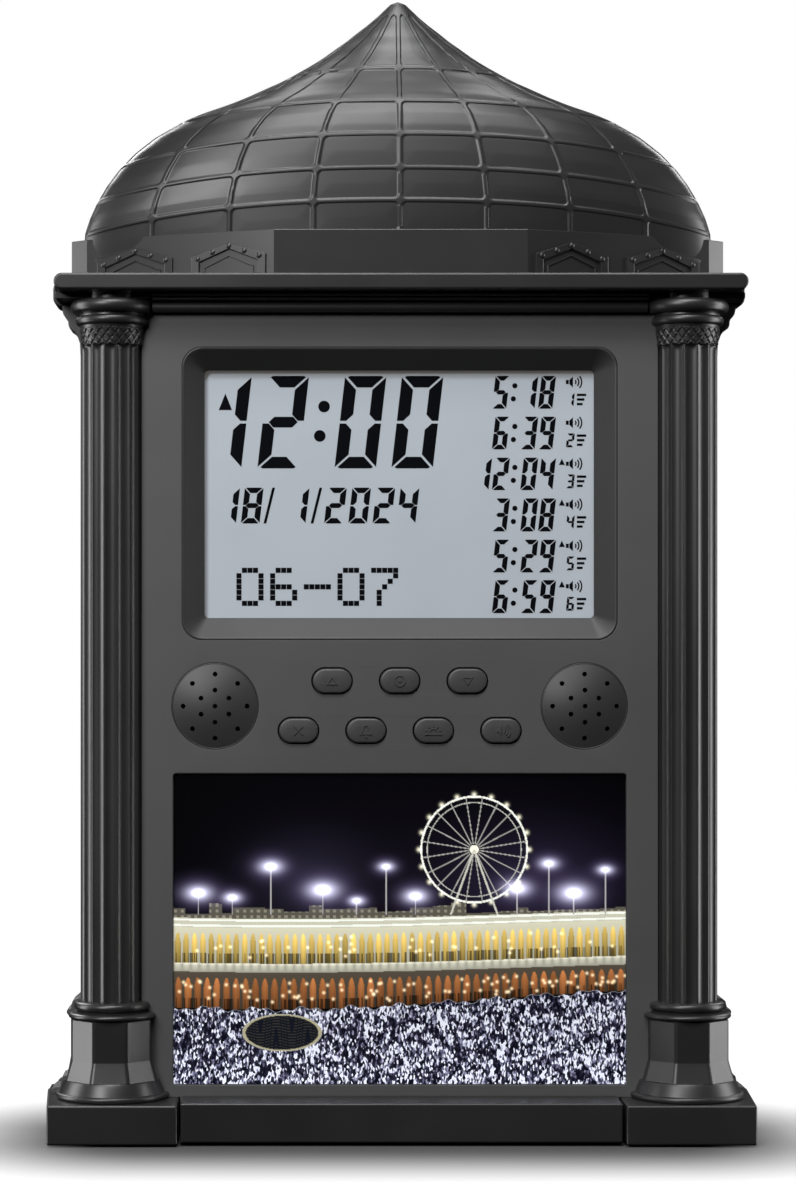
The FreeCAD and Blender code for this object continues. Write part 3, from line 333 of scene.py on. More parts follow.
ROWS = [284.0 - 5, 297.4, 308.3, 319.2, 330.6, 342.2, 354.4, 374.2]
def build_dome():
    nu, nv = 561, 330
    U = np.linspace(-1, 1, nu)
    V0 = np.linspace(284.0, 378.2, nv)
    uu, vv = np.meshgrid(U, V0)
    x, d, z = dome_surface(uu, vv)
    # lengths per unit of u and of z0, to measure distances on the surface
    du = 1e-3
    xa, da, za = dome_surface(np.clip(uu + du, -1, 1), vv); xb, db, zb = dome_surface(np.clip(uu - du, -1, 1), vv)
    step = np.clip(uu + du, -1, 1) - np.clip(uu - du, -1, 1)
    Lu = np.sqrt((xa - xb) ** 2 + (da - db) ** 2 + (za - zb) ** 2) / step
    Lu = np.minimum(Lu, 1.6 * np.maximum(smooth_curve(vv), 1.0))
    xa, da, za = dome_surface(uu, vv + 0.05); xb, db, zb = dome_surface(uu, vv - 0.05)
    Lv = np.sqrt((xa - xb) ** 2 + (da - db) ** 2 + (za - zb) ** 2) / 0.1
    k = uu * 4.0
    near = np.abs(k - np.round(k)) / 4.0
    a = near * Lu - 0.52
    b = np.full_like(a, 1e9)
    for r in ROWS:
        b = np.minimum(b, np.abs(vv - r))
    b = b * Lv - 0.50
    b = np.where(vv > ROWS[-1], -1.0, b)
    rc = 1.5
    inside = np.where((a < rc) & (b < rc), rc - np.hypot(np.maximum(rc - a, 0), np.maximum(rc - b, 0)), np.minimum(a, b))
    rec = smoothstep(inside, -0.05, 0.34)
    # panels are very slightly pillowed, so that each one catches its own highlight
    pillow = np.clip(inside / 7.0, 0, 1)
    relief = -0.34 * rec + 0.08 * np.sin(pillow * math.pi / 2) * rec
    # normal
    P = np.stack([x, d, z], -1)
    tu = np.gradient(P, axis=1); tv = np.gradient(P, axis=0)
    n = np.cross(tu, tv); n /= np.maximum(np.linalg.norm(n, axis=-1, keepdims=True), 1e-9)
    flip = np.where(n[..., 1:2] > 0, -1.0, 1.0); n = n * flip
    P = P + n * relief[..., None]
    P[:, 0], P[:, -1] = np.stack([x, d, z], -1)[:, 0], np.stack([x, d, z], -1)[:, -1]
    P[..., 1] = np.minimum(P[..., 1], 38.0)
    P[..., 2] = np.maximum(P[..., 2], 283.5)
    # straight strip from the side edges to the rear joint, then the flat back
    left = P[:, :1].copy(); left[..., 1] = 40.0
    right = P[:, -1:].copy(); right[..., 1] = 40.0
    P = np.concatenate([left, P, right], axis=1)
    nr, nc = P.shape[:2]
    f = grid_faces(nr, nc)
    for i in range(nr - 1):
        f.append((i * nc, (i + 1) * nc, (i + 1) * nc + nc - 1, i * nc + nc - 1))
    f.append(tuple(range(nc)))
    f.append(tuple((nr - 1) * nc + j for j in range(nc)))
    v = [W(*p) for p in P.reshape(-1, 3)]
    return make("dome_ribbed", v, f, M["shell"], angle=38, repl=("dome_shell",), weighted=False)
build_dome()

# ------------------------------------------------------------------ parapet
PLAN = [(41.5, 10.0), (72.3, 20.6), (104.3, 35.5), (109.7, 40.0)]
def build_parapet():
    full = [(-x, d) for x, d in reversed(PLAN)] + PLAN
    inner = [(105.9, 40.0), (103.0, 37.6), (71.6, 22.9), (41.1, 12.4), (-41.1, 12.4), (-71.6, 22.9), (-103.0, 37.6), (-105.9, 40.0)]
    b = Build()
    loop = full + inner
    plate(b, [loop], 0, 14.7, bev=0.22, K=2, plane=lambda u, v, w: W(u, v, 298.1 - w))
    def facet(i, side):
        (xa, da), (xb, db) = PLAN[i], PLAN[i + 1]
        L = math.hypot(xb - xa, db - da)
        ux, ud = (xb - xa) / L, (db - da) / L
        nx, nd = ud, -ux
        def at(t, z, off):
            return W(side * (xa + ux * t + nx * off), da + ud * t + nd * off, z)
        return L, at
    for i in (0, 1):
        for side in (-1, 1):
            L, at = facet(i, side)
            p0, p1, p2, p3, m = 0.080 * L, 0.165 * L, 0.795 * L, 0.880 * L, 0.475 * L
            zb, zs, zt = 283.45, 288.2, 292.2
            # posts and gable band, as raised strips that share a rounded edge
            band = [(p0, zb), (p1, zb), (p1, zs), (m, zt), (p2, zs), (p2, zb), (p3, zb), (p3, zs + 2.0), (m, zt + 2.2), (p0, zs + 2.0)]
            plate(b, [band], -0.75, 0.1, bev=0.2, K=2, plane=lambda u, v, w: at(u, v, -w))
            # inner step line inside the gable
            inner_band = [(p1 + 1.5, zb), (p1 + 2.0, zb), (p1 + 2.0, zs - 2.0), (m, zt - 2.4), (p2 - 2.0, zs - 2.0), (p2 - 2.0, zb), (p2 - 1.5, zb),
                          (p2 - 1.5, zs - 1.7), (m, zt - 1.9), (p1 + 1.5, zs - 1.7)]
            plate(b, [inner_band], -0.4, 0.1, bev=0.1, K=1, plane=lambda u, v, w: at(u, v, -w))
            for t, z in ((0.15, 289.6), (0.31, 291.4), (0.475, 293.2), (0.65, 291.3), (0.81, 289.3)):
                t *= L
                rr, nn = 0.95, 20
                ring = []
                vs = []
                for a, off in [(0.0, -0.05)] + [(math.pi / 2 * k / 5, None) for k in range(5)]:
                    for q in range(nn):
                        ph = 2 * math.pi * q / nn
                        vs.append(at(t + rr * math.cos(a) * math.cos(ph), z + rr * math.cos(a) * math.sin(ph), off if off is not None else 0.65 + rr * 0.6 * math.sin(a)))
                vs.append(at(t, z, 0.65 + rr * 0.6))
                fs = grid_faces(6, nn, wrap=True)
                fs += [(5 * nn + q, 5 * nn + (q + 1) % nn, 6 * nn) for q in range(nn)]
                fs.append(tuple(range(nn))[::-1])
                b.add(vs, fs)
    return make("parapet_drum", b.v, b.f, M["shell"], angle=14, repl=("parapet",))
build_parapet()

# ------------------------------------------------------------------ cornice
def build_cornice():
    b = Build()
    zc, h = 280.7, 5.4
    def pl(u, v, w):
        k = 1 + 0.0168 * (w - 6.2) / 34.0
        return W(u * k, w, v)
    plate(b, [rrect(0, zc, 226.4, h, 2.62, n=14)], 6.2, 40.0, bev=0.75, K=5, plane=pl)
    for sg in (-1, 1):
        plate(b, [rrect(sg * 97.6, 276.95, 31.4, 2.2, 0.4, n=4)], 14.5, 26.0, bev=0.2, K=2)
    plate(b, [rrect(0, 278.85, 229.8, 8.5, 2.8, n=12)], 26.0, 40.0, bev=0.5, K=3)
    def bead(x0, x1, d0, z0, z1, rad):
        """Moulding strip under the slab with a rounded nose."""
        prof = [(19.0, z0), (d0 + rad, z0)] + [(d0 + rad - rad * math.sin(t), z0 + (z1 - z0) / 2 - (z1 - z0) / 2 * math.cos(t)) for t in np.linspace(0, math.pi, 9)] + [(19.0, z1)]
        plate(b, [prof], x0, x1, bev=0.0, plane=lambda u, v, w: W(w, u, v))
    bead(-81.4, 81.4, 15.2, 271.6, 274.9, 1.1)
    bead(-81.4, 81.4, 13.8, 275.3, 276.4, 0.4)
    bead(-81.4, 81.4, 11.2, 276.6, 278.0, 0.6)
    return make("cornice_slab", b.v, b.f, M["shell"], angle=35, repl=("cornice",))
build_cornice()

# ------------------------------------------------------------------ columns
NT = 448
TH = np.linspace(0, 2 * math.pi, NT, endpoint=False) - math.pi / 2
def bumpz(z0, z1, r, dep, n=12):
    return [(z0 + (z1 - z0) * (1 - math.cos(math.pi * i / n)) / 2, r + dep * math.sin(math.pi * i / n)) for i in range(n + 1)]

def octr(ap, round_k=0.985):
    t = (TH + math.pi / 2 + math.pi / 8) % (math.pi / 4) - math.pi / 8
    r = ap / np.cos(t)
    cap = ap / math.cos(math.pi / 8) * round_k
    return np.minimum(r, cap + (r - cap) * 0.25)

def flute_r(R, depth):
    p = 2 * math.pi / 14
    t = (TH + math.pi / 2 + p / 2) % p - p / 2
    k = np.clip(np.abs(t) / (p / 2 * 0.915), 0, 1)
    return R - depth * (1 - k ** 2) ** 0.8

def build_column(side):
    rings = []
    def circ(z, r):
        rings.append((z, np.full(NT, r)))
    for z, r in [(13.0, 17.9)] + bumpz(13.0, 15.05, 18.0, 0.78):
        circ(z, r)
    for t in np.linspace(0, math.pi / 2, 12):          # hollow sweep up from the disc
        circ(15.1 + 4.0 * math.sin(t), 15.7 + 1.7 * (1 - math.sin(t)) ** 0.9)
    circ(19.15, 15.2)
    ease = np.concatenate([np.linspace(0, 0.96, 9), [0.985, 0.995]])
    for e in ease:                                      # flared octagonal foot
        rings.append((19.2 + 6.5 * e, octr(13.0 + 1.85 * (1 - e) ** 1.05)))
    for z in (25.76, 25.9):
        rings.append((z, octr(13.0)))
    for z in np.linspace(26.2, 38.9, 8):
        rings.append((z, octr(13.0)))
    rings.append((39.08, octr(12.8)))
    for z, r in bumpz(39.15, 41.2, 13.0, 1.4):
        circ(z, r)
    circ(41.25, 12.0); circ(41.35, 11.9); circ(41.5, 12.15); circ(41.62, 11.9); circ(41.8, 11.4)
    for z, r in bumpz(41.85, 44.75, 11.2, 1.32):
        circ(z, r)
    circ(44.8, 10.2)
    fl = flute_r(9.74, 0.85)
    for z in (44.85, 45.2, 46.0):
        rings.append((z, fl))
    for z in np.linspace(52, 256, 40):
        rings.append((z, fl))
    for z in (257.0, 258.0, 258.8, 259.4, 259.8, 260.1, 260.3, 260.45, 260.55):
        k = max(0.0, 1 - ((z - 258.4) / 2.2) ** 4) if z > 258.4 else 1.0
        rings.append((z, 9.74 - (9.74 - fl) * k))
    circ(260.62, 9.80); circ(260.7, 9.92)
    # diamond band
    for z in np.linspace(260.8, 267.2, 44):
        e = (z - 260.8) / 6.4
        r0 = 9.92 + 0.72 * e ** 1.6
        if z > 266.25:
            hgt = np.zeros(NT)
        else:
            npair = 22
            s1 = (TH + math.pi / 2) / (2 * math.pi) * npair + (z - 264.1) / 3.5
            s2 = (TH + math.pi / 2) / (2 * math.pi) * npair - (z - 264.1) / 3.5
            a1 = np.abs(s1 - np.round(s1)); a2 = np.abs(s2 - np.round(s2))
            hgt = 0.42 * smoothstep(0.5 - np.maximum(a1, a2), 0.05, 0.17)
            hgt *= float(smoothstep(np.array(266.25 - z), 0.0, 0.25)) * float(smoothstep(np.array(z - 260.8), 0.0, 0.25))
            hgt = hgt - 0.12 * float(smoothstep(np.array(266.25 - z), 0.0, 0.3))
        rings.append((z, r0 + hgt))
    circ(267.25, 10.75)
    for z, r in bumpz(267.3, 270.3, 10.9, 1.12):
        circ(z, r)
    circ(270.35, 10.9); circ(271.15, 10.8); circ(271.2, 11.6)
    for z, r in bumpz(271.25, 275.5, 12.0, 1.65, 16):
        circ(z, r)
    circ(275.6, 9.0); circ(275.8, 8.4); circ(277.95, 8.4)
    n = len(rings)
    cx = side * 94.9
    v = np.zeros((n, NT, 3))
    for i, (z, r) in enumerate(rings):
        v[i, :, 0] = cx + r * np.cos(TH)
        v[i, :, 1] = 20.0 + r * np.sin(TH)
        v[i, :, 2] = z
    verts = [W(*p) for p in v.reshape(-1, 3)]
    faces = grid_faces(n, NT, wrap=True)
    faces.append(tuple(range(NT))); faces.append(tuple((n - 1) * NT + i for i in range(NT)))
    me = bpy.data.meshes.new("col")
    me.from_pydata(verts, [], faces)
    bm = bmesh.new(); bm.from_mesh(me)
    def cutp(co, no):
        g = bm.verts[:] + bm.edges[:] + bm.faces[:]
        bmesh.ops.bisect_plane(bm, geom=g, plane_co=co, plane_no=no, clear_outer=True, dist=1e-8)
        eds = [e for e in bm.edges if e.is_boundary]
        if eds:
            bmesh.ops.edgeloop_fill(bm, edges=eds)
    cutp(Vector(W(0, 26.0, 0)), Vector((0, 1, 0)))
    bmesh.ops.recalc_face_normals(bm, faces=bm.faces)
    bm.to_mesh(me); bm.free()
    name = "column_" + ("left" if side < 0 else "right") + "_detail"
    o = bpy.data.objects.new(name, me)
    bpy.context.scene.collection.objects.link(o)
    me.polygons.foreach_set("use_smooth", [True] * len(me.polygons))
    me.set_sharp_from_angle(angle=math.radians(33))
    me.materials.append(M["shell"])
    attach(o, ROOT)
    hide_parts("column_left" if side < 0 else "column_right")
    return o
for s in (-1, 1):
    build_column(s)

# ------------------------------------------------------------------ plinths, base bar
def build_plinth(side):
    b = Build()
    def pl(u, v, w):
        k = np.clip(w / 40.0, 0, 1)
        x = u + (2.8 * k if u > 100 else 0)
        return W(side * x, w, v)
    plate(b, [rrect((72.8 + 115.0) / 2, 6.5, 42.2, 13.0, 0.7, n=5)], 0.0, 40.0, bev=0.75, K=4, plane=pl)
    nm = "left" if side < 0 else "right"
    return make("plinth_%s_block" % nm, b.v, b.f, M["shell"], angle=50, repl=("plinth_" + nm,))
for s in (-1, 1):
    build_plinth(s)
b = Build()
plate(b, [rrect(0, 7.0, 143.6, 13.0, 0.7, n=5)], 2.0, 19.0, bev=0.7, K=4)
make("base_bar_block", b.v, b.f, M["shell"], angle=50, repl=("base_bar",))

# ------------------------------------------------------------------ front housing
SIDE = [(0.0, 72.4), (13.0, 72.4), (13.0, 114.8), (13.7, 115.4), (14.6, 115.4), (15.3, 114.6), (15.5, 112.6),
        (16.4, 112.4), (19.0, 111.8), (19.4, 110.2), (25.7, 109.0), (39.1, 109.0), (39.3, 109.9), (39.9, 110.4), (40.7, 110.4),
        (41.3, 109.9), (41.6, 109.0), (42.3, 108.9), (43.9, 108.5), (44.8, 107.4), (45.0, 105.8), (258.0, 105.8),
        (262.4, 106.0), (265.0, 106.9), (266.4, 107.8), (266.8, 108.6), (267.4, 109.4), (268.4, 109.8), (269.6, 109.9),
        (270.4, 110.2), (271.0, 110.8), (272.0, 111.5), (273.2, 111.8), (274.6, 111.8), (275.2, 111.2), (278.0, 111.2)]
def outline(half):
    return [(w, z) for z, w in half] + [(-w, z) for z, w in reversed(half)]
KEYS = {"button_up": (-22.3, 150.3), "button_set": (0.0, 150.3), "button_down": (22.3, 150.3), "button_exit": (-33.4, 133.9),
        "button_alarm": (-11.1, 133.9), "button_prayer": (11.1, 133.9), "button_sound": (33.4, 133.9)}
KW, KH, KG = 12.9, 8.1, 0.42
DISP = (0.0, 212.1)
def build_housing():
    b = Build()
    holes = [rrect(0, DISP[1], 143.7, 96.7, 6.6, n=14), rrect(0, 68.45, 149.7, 102.9, 1.2, n=6)]
    holes += [stadium(x, z, KW + 2 * KG, KH + 2 * KG, n=20) for x, z in KEYS.values()]
    holes += [circle(s * 60.9, 142.0, 14.35, 96) for s in (-1, 1)]
    plate(b, [rect(-85.2, 85.2, 13.0, 278.0, 1000)] + holes, 19.0, 21.4, bev=0.22, K=2)
    plate(b, [rect(-77.5, 77.5, 14.2, 122.6, 1000)], 20.6, 22.8, bev=0.0)
    plate(b, [rect(-85.2, 85.2, 13.0, 278.0, 1000), rect(-82.8, 82.8, 15.4, 275.6, 1000)], 21.38, 26.0, bev=0.0)
    plate(b, [rect(-72.4, 72.4, 0.0, 13.0, 1000)], 19.0, 26.1, bev=0.0)
    plate(b, [outline(SIDE), rect(-82.8, 82.8, 15.4, 275.6, 1000)], 26.0, 28.4, bev=0.3, K=2)
    inner = outline([(2.4, 70.0), (15.4, 70.0), (15.4, 107.0), (39.1, 106.4), (44.8, 105.0), (47.2, 103.4), (258.2, 103.4), (270.4, 106.8), (275.6, 106.8)])
    plate(b, [outline(SIDE), inner], 28.38, 40.0, bev=0.0)
    return make("front_housing_shell", b.v, b.f, M["panel"], angle=30, repl=("front_housing",))
build_housing()

# ------------------------------------------------------------------ display bezel
def build_bezel():
    n = 20
    prof = []      # (width, height, radius, depth)
    W0, H0, R0 = 143.6, 96.6, 6.55
    W1, H1, R1 = 129.0, 82.0, 1.5
    prof.append((W0, H0, R0, 24.0)); prof.append((W0, H0, R0, 19.5))
    for t in np.linspace(0, math.pi / 2, 4):
        prof.append((W0 - 0.6 * (1 - math.cos(t)), H0 - 0.6 * (1 - math.cos(t)), R0, 19.3 - 0.3 * math.sin(t)))
    a = (W0 - 1.3, H0 - 1.3, R0 - 0.3, 19.05)
    prof.append(a)
    for t in np.linspace(0.04, 0.97, 8):
        prof.append((a[0] + (W1 + 0.7 - a[0]) * t, a[1] + (H1 + 0.7 - a[1]) * t, a[2] + (R1 - a[2]) * t, 19.05 + 4.45 * t))
    prof.append((W1 + 0.3, H1 + 0.3, R1, 23.65)); prof.append((W1, H1, R1, 23.8)); prof.append((W1, H1, R1, 24.0))
    v, rows = [], len(prof)
    for w, h, r, d in prof:
        loop = rrect(0, DISP[1], w, h, r, n=n)
        v += [W(x, d, z) for x, z in loop]
    m = 4 * n
    f = grid_faces(rows, m, wrap=True)
    f += [((rows - 1) * m + i, (rows - 1) * m + (i + 1) % m, (i + 1) % m, i) for i in range(m)]
    return make("display_bezel", v, f, M["bezel"], angle=28, repl=("lcd_bezel",))
build_bezel()

# ------------------------------------------------------------------ keys
def bar(x0, z0, x1, z1, t=0.42):
    L = math.hypot(x1 - x0, z1 - z0); nx, nz = -(z1 - z0) / L * t / 2, (x1 - x0) / L * t / 2
    return [(x0 + nx, z0 + nz), (x1 + nx, z1 + nz), (x1 - nx, z1 - nz), (x0 - nx, z0 - nz)]
def arc(cx, cz, r, a0, a1, t=0.42, n=14):
    A = np.linspace(math.radians(a0), math.radians(a1), n)
    return [(cx + (r + t / 2) * math.cos(q), cz + (r + t / 2) * math.sin(q)) for q in A] + [(cx + (r - t / 2) * math.cos(q), cz + (r - t / 2) * math.sin(q)) for q in A[::-1]]
def key_icon(name):
    """Raised pictogram of a key, as lists of loops (outline, then holes)."""
    tri = lambda s: [[(-1.9, -1.3 * s), (1.9, -1.3 * s), (0, 1.6 * s)], [(-1.15, -0.88 * s), (1.15, -0.88 * s), (0, 0.9 * s)]]
    if name == "button_up":
        return [tri(1)]
    if name == "button_down":
        return [tri(-1)]
    if name == "button_set":
        return [[circle(0, 0, 1.95, 28), circle(0, 0, 1.5, 28)], [circle(0, 0, 0.62, 18)]]
    if name == "button_exit":
        return [[bar(-1.5, -1.5, 1.5, 1.5)], [bar(-1.5, 1.5, -0.25, 0.25)], [bar(0.25, -0.25, 1.5, -1.5)]]
    if name == "button_alarm":
        bell = [(-2.1, -1.35), (2.1, -1.35), (1.5, -0.6), (1.35, 0.7), (0.8, 1.6), (0.3, 1.95), (-0.3, 1.95), (-0.8, 1.6), (-1.35, 0.7), (-1.5, -0.6)]
        inn = [(-1.35, -0.95), (1.35, -0.95), (1.12, -0.45), (0.95, 0.6), (0.55, 1.25), (0, 1.5), (-0.55, 1.25), (-0.95, 0.6), (-1.12, -0.45)]
        return [[bell, inn], [circle(0, -1.95, 0.42, 14)]]
    if name == "button_prayer":
        out = [[arc(0, -0.9, 1.5, 0, 180)], [bar(-2.9, -1.25, 2.9, -1.25)]]
        for a in (20, 55, 90, 125, 160):
            c, s_ = math.cos(math.radians(a)), math.sin(math.radians(a))
            out.append([bar(2.05 * c, -0.9 + 2.05 * s_, 2.75 * c, -0.9 + 2.75 * s_, 0.36)])
        return out
    return [[[(-1.6, -0.6), (-0.9, -0.6), (0.1, -1.5), (0.1, 1.5), (-0.9, 0.6), (-1.6, 0.6)]], [arc(0.1, 0, 1.1, -48, 48)], [arc(0.1, 0, 2.0, -48, 48)], [arc(0.1, 0, 2.9, -48, 48)]]
def build_key(name, x, z):
    b = Build()
    n = 20
    rings = [(0.0, 21.9)]
    prof = [(KW, KH, 21.7), (KW, KH, 19.2), (KW, KH, 18.6)]
    v = []
    shape = []
    for t in np.linspace(0, math.pi / 2, 6):
        q = 0.7
        prof.append((KW - 2 * q * (1 - math.cos(t)), KH - 2 * q * (1 - math.cos(t)), 18.5 - q * math.sin(t)))
    last = prof[-1]
    for k in (0.80, 0.55, 0.28):
        w = last[0] - last[1] * (1 - k); h = last[1] * k
        prof.append((w, h, last[2] - 0.22 * (1 - k ** 2)))
    for w, h, d in prof:
        v += [W(px, d, pz) for px, pz in stadium(x, z, w, h, n)]
    m = 2 * n
    f = grid_faces(len(prof), m, wrap=True)
    f.append(tuple((len(prof) - 1) * m + i for i in range(m)))
    f.append(tuple(range(m)))
    b.add(v, f)
    plate(b, [stadium(x, z, KW + 2.2, KH + 2.2, n)], 21.55, 22.35, bev=0.0)
    face = last[2] - 0.20
    for loops in key_icon(name):
        plate(b, [[(x + px, z + pz) for px, pz in l] for l in loops], face - 0.28, face + 0.5, bev=0.10, K=1)
    plate(b, [circle(x, z, 2.7, 24), circle(x, z, 1.85, 24)], 22.3, 23.6, bev=0.0)
    return make(name + "_cap", b.v, b.f, M["key"], body=name + "_key", angle=40, repl=(name,))
for nm, (kx, kz) in KEYS.items():
    build_key(nm, kx, kz)

# ------------------------------------------------------------------ loudspeaker grilles
def build_grille(side):
    cx, cz = side * 60.9, 142.0
    R = 14.27
    nr, nt_ = 44, 180
    def dome_d(r, inner):
        k = np.clip(r / (R * 0.955), 0, 1)
        return 19.05 - 2.55 * math.cos(math.pi / 2 * k) + (1.4 if inner else 0)
    prof = [(r, dome_d(r, False)) for r in np.linspace(0.02, R * 0.955, nr)]
    prof += [(R * 0.972, 19.12), (R * 0.985, 18.96), (R * 0.997, 19.02), (R, 19.25), (R, 21.3), (R - 1.6, 21.3)]
    prof += [(r, dome_d(r, True)) for r in np.linspace(R - 1.6, 0.02, nr)]
    v = []
    for r, d in prof:
        v += [W(cx + r * math.cos(2 * math.pi * i / nt_), d, cz + r * math.sin(2 * math.pi * i / nt_)) for i in range(nt_)]
    f = grid_faces(len(prof), nt_, wrap=True)
    f.append(tuple(range(nt_))); f.append(tuple((len(prof) - 1) * nt_ + i for i in range(nt_)))
    nm = "left" if side < 0 else "right"
    o = make("grille_%s_disc" % nm, v, f, M["grille"], weighted=False, angle=40, repl=("speaker_grille_" + nm,))
    # punched holes
    hv, hf = Build(), None
    spots = [(0.0, 0.0)]
    spots += [(10.55 * math.cos(i * math.pi / 4), 10.55 * math.sin(i * math.pi / 4)) for i in range(8)]
    spots += [(5.3 * math.cos(math.pi / 2 + i * math.pi / 3), 5.3 * math.sin(math.pi / 2 + i * math.pi / 3)) for i in range(6)]
    for dx, dz in spots:
        plate(hv, [circle(cx + dx, cz + dz, 0.80, 24)], 12.0, 24.0, bev=0.0)
    me = bpy.data.meshes.new("punch"); me.from_pydata(hv.v, [], hv.f)
    bm = bmesh.new(); bm.from_mesh(me); bmesh.ops.recalc_face_normals(bm, faces=bm.faces); bm.to_mesh(me); bm.free()
    cutter = bpy.data.objects.new("punch", me)
    bpy.context.scene.collection.objects.link(cutter)
    md = o.modifiers.new("punch", "BOOLEAN"); md.operation = "DIFFERENCE"; md.solver = "EXACT"; md.object = cutter
    bpy.context.view_layer.update()
    dg = bpy.context.evaluated_depsgraph_get()
    new = bpy.data.meshes.new_from_object(o.evaluated_get(dg))
    o.modifiers.remove(md)
    o.data = new
    bpy.data.objects.remove(cutter)
    new.polygons.foreach_set("use_smooth", [True] * len(new.polygons))
    new.set_sharp_from_angle(angle=math.radians(40))
    return o
for s in (-1, 1):
    build_grille(s)

# ------------------------------------------------------------------ display face
SEG = {"0": "abcdef", "1": "bc", "2": "abged", "3": "abgcd", "4": "fgbc", "5": "afgcd", "6": "afgedc", "7": "abc", "8": "abcdefg", "9": "abcdfg"}
def seg_polys(ch, x, z, w, h, t, slant):
    """Seven-segment digit: x, z is its lower left corner."""
    g = t * 0.11
    k = t / 2
    out = []
    hh = h / 2
    def sl(p):
        return (p[0] + (p[1] - z) * slant, p[1])
    def horiz(zc):
        return [(x + k * 0.75 + g, zc), (x + k * 1.55 + g, zc + k * 0.85), (x + w - k * 1.55 - g, zc + k * 0.85), (x + w - k * 0.75 - g, zc), (x + w - k * 1.55 - g, zc - k * 0.85), (x + k * 1.55 + g, zc - k * 0.85)]
    def vert(xc, z0, z1):
        return [(xc, z0 + g), (xc + k, z0 + k + g * 0.6), (xc + k, z1 - k - g * 0.6), (xc, z1 - g), (xc - k, z1 - k - g * 0.6), (xc - k, z0 + k + g * 0.6)]
    def top(up):
        zc = z + h if up else z
        s = -1 if up else 1
        return [(x + g + t * 0.30, zc), (x + g + t * 0.12, zc + s * t * 0.10), (x + t * 0.95 + g, zc + s * t * 0.92), (x + w - t * 0.95 - g, zc + s * t * 0.92), (x + w - g - t * 0.12, zc + s * t * 0.10), (x + w - g - t * 0.30, zc)]
    def side(right, upper):
        xo, xi = (x + w, x + w - t) if right else (x, x + t)
        if upper:
            return [(xo, z + h - g), (xo, z + hh + g), (xo + (xi - xo) / 2, z + hh + g), (xi, z + hh + k + g), (xi, z + h - t - g)]
        return [(xo, z + g), (xo, z + hh - g), (xo + (xi - xo) / 2, z + hh - g), (xi, z + hh - k - g), (xi, z + t + g)]
    for s in SEG.get(ch, ""):
        if s == "a": p = top(True)
        elif s == "d": p = top(False)
        elif s == "g": p = horiz(z + hh)
        elif s == "b": p = side(True, True)
        elif s == "c": p = side(True, False)
        elif s == "f": p = side(False, True)
        elif s == "e": p = side(False, False)
        out.append([sl(q) for q in p])
    return out

INK_D = 25.77          # segments lie just in front of the display glass
def lcd_point(u, v):
    return from_photo(160 + u / 3.267, 330 + v / 3.267, INK_D)
polys = []
def digits(text, u0, v0, v1, pitch, width, thick, slant=0.115, colon=None):
    sx = 0.33215 / 3.267
    x, zt = lcd_point(u0, v0); _, zb = lcd_point(u0, v1)
    h = zt - zb
    for ch in text:
        if ch == " ":
            x += pitch * sx; continue
        if ch == ":":
            r = thick * sx * 0.52
            for fz in (0.30, 0.70):
                zz = zb + h * fz
                polys.append(circle(x + r + (zz - zb) * slant, zz, r, 18))
            x += thick * sx * 2.1; continue
        if ch == "/":
            polys.append([(x, zb), (x + thick * sx * 1.1, zb), (x + width * sx * 1.05 + h * slant, zt), (x + width * sx * 1.05 - thick * sx * 1.1 + h * slant, zt)])
            x += pitch * sx * 1.0; continue
        if ch == "-":
            polys.append([(x + h * slant / 2, zb + h / 2 - thick * sx / 2), (x + width * sx * 0.8 + h * slant / 2, zb + h / 2 - thick * sx / 2),
                          (x + width * sx * 0.8 + h * slant / 2, zb + h / 2 + thick * sx / 2), (x + h * slant / 2, zb + h / 2 + thick * sx / 2)])
            x += pitch * sx; continue
        polys.extend(seg_polys(ch, x, zb, width * sx, h, thick * sx, slant))
        x += pitch * sx
def big(ch, u0, u1, v0, v1, thick):
    sx = 0.33215 / 3.267
    x0, zt = lcd_point(u0, v0); x1, zb = lcd_point(u1, v1)
    h = zt - zb
    w = (x1 - x0) - h * 0.115
    if ch == "1":
        polys.extend(seg_polys(ch, x1 - h * 0.115 - w, zb, w, h, thick * sx, 0.115))
    else:
        polys.extend(seg_polys(ch, x0, zb, w, h, thick * sx, 0.115))
big("1", 130, 300, 150, 452, 41)
big("2", 318, 487, 150, 452, 41)
big("0", 570, 740, 150, 452, 41)
big("0", 756, 926, 150, 452, 41)
for u, v in ((536, 250), (522, 346)):
    x, z = lcd_point(u, v)
    polys.append(circle(x, z, 19 * 0.33215 / 3.267, 24))
digits("18", 187, 515, 632, 77, 61, 19)
digits("1", 414, 515, 632, 77, 61, 19)
digits("2024", 536, 515, 632, 79, 61, 19)
for u in (338, 492):
    x, zt = lcd_point(u, 515); x1, zb = lcd_point(u + 38, 632); x2, _ = lcd_point(u + 12, 632)
    polys.append([(x, zb), (x + 0.95, zb), (x1, zt), (x1 - 0.95, zt)])
for txt, v0, v1 in (("5:18", 150, 257), ("6:39", 283, 390), ("12:04", 417, 523), ("3:08", 550, 658), ("5:29", 685, 792), ("6:59", 817, 925)):
    n = len(txt) - 1
    total = n * 58 + 30
    digits(txt, 1288 - total, v0, v1, 58, 47, 16.5)
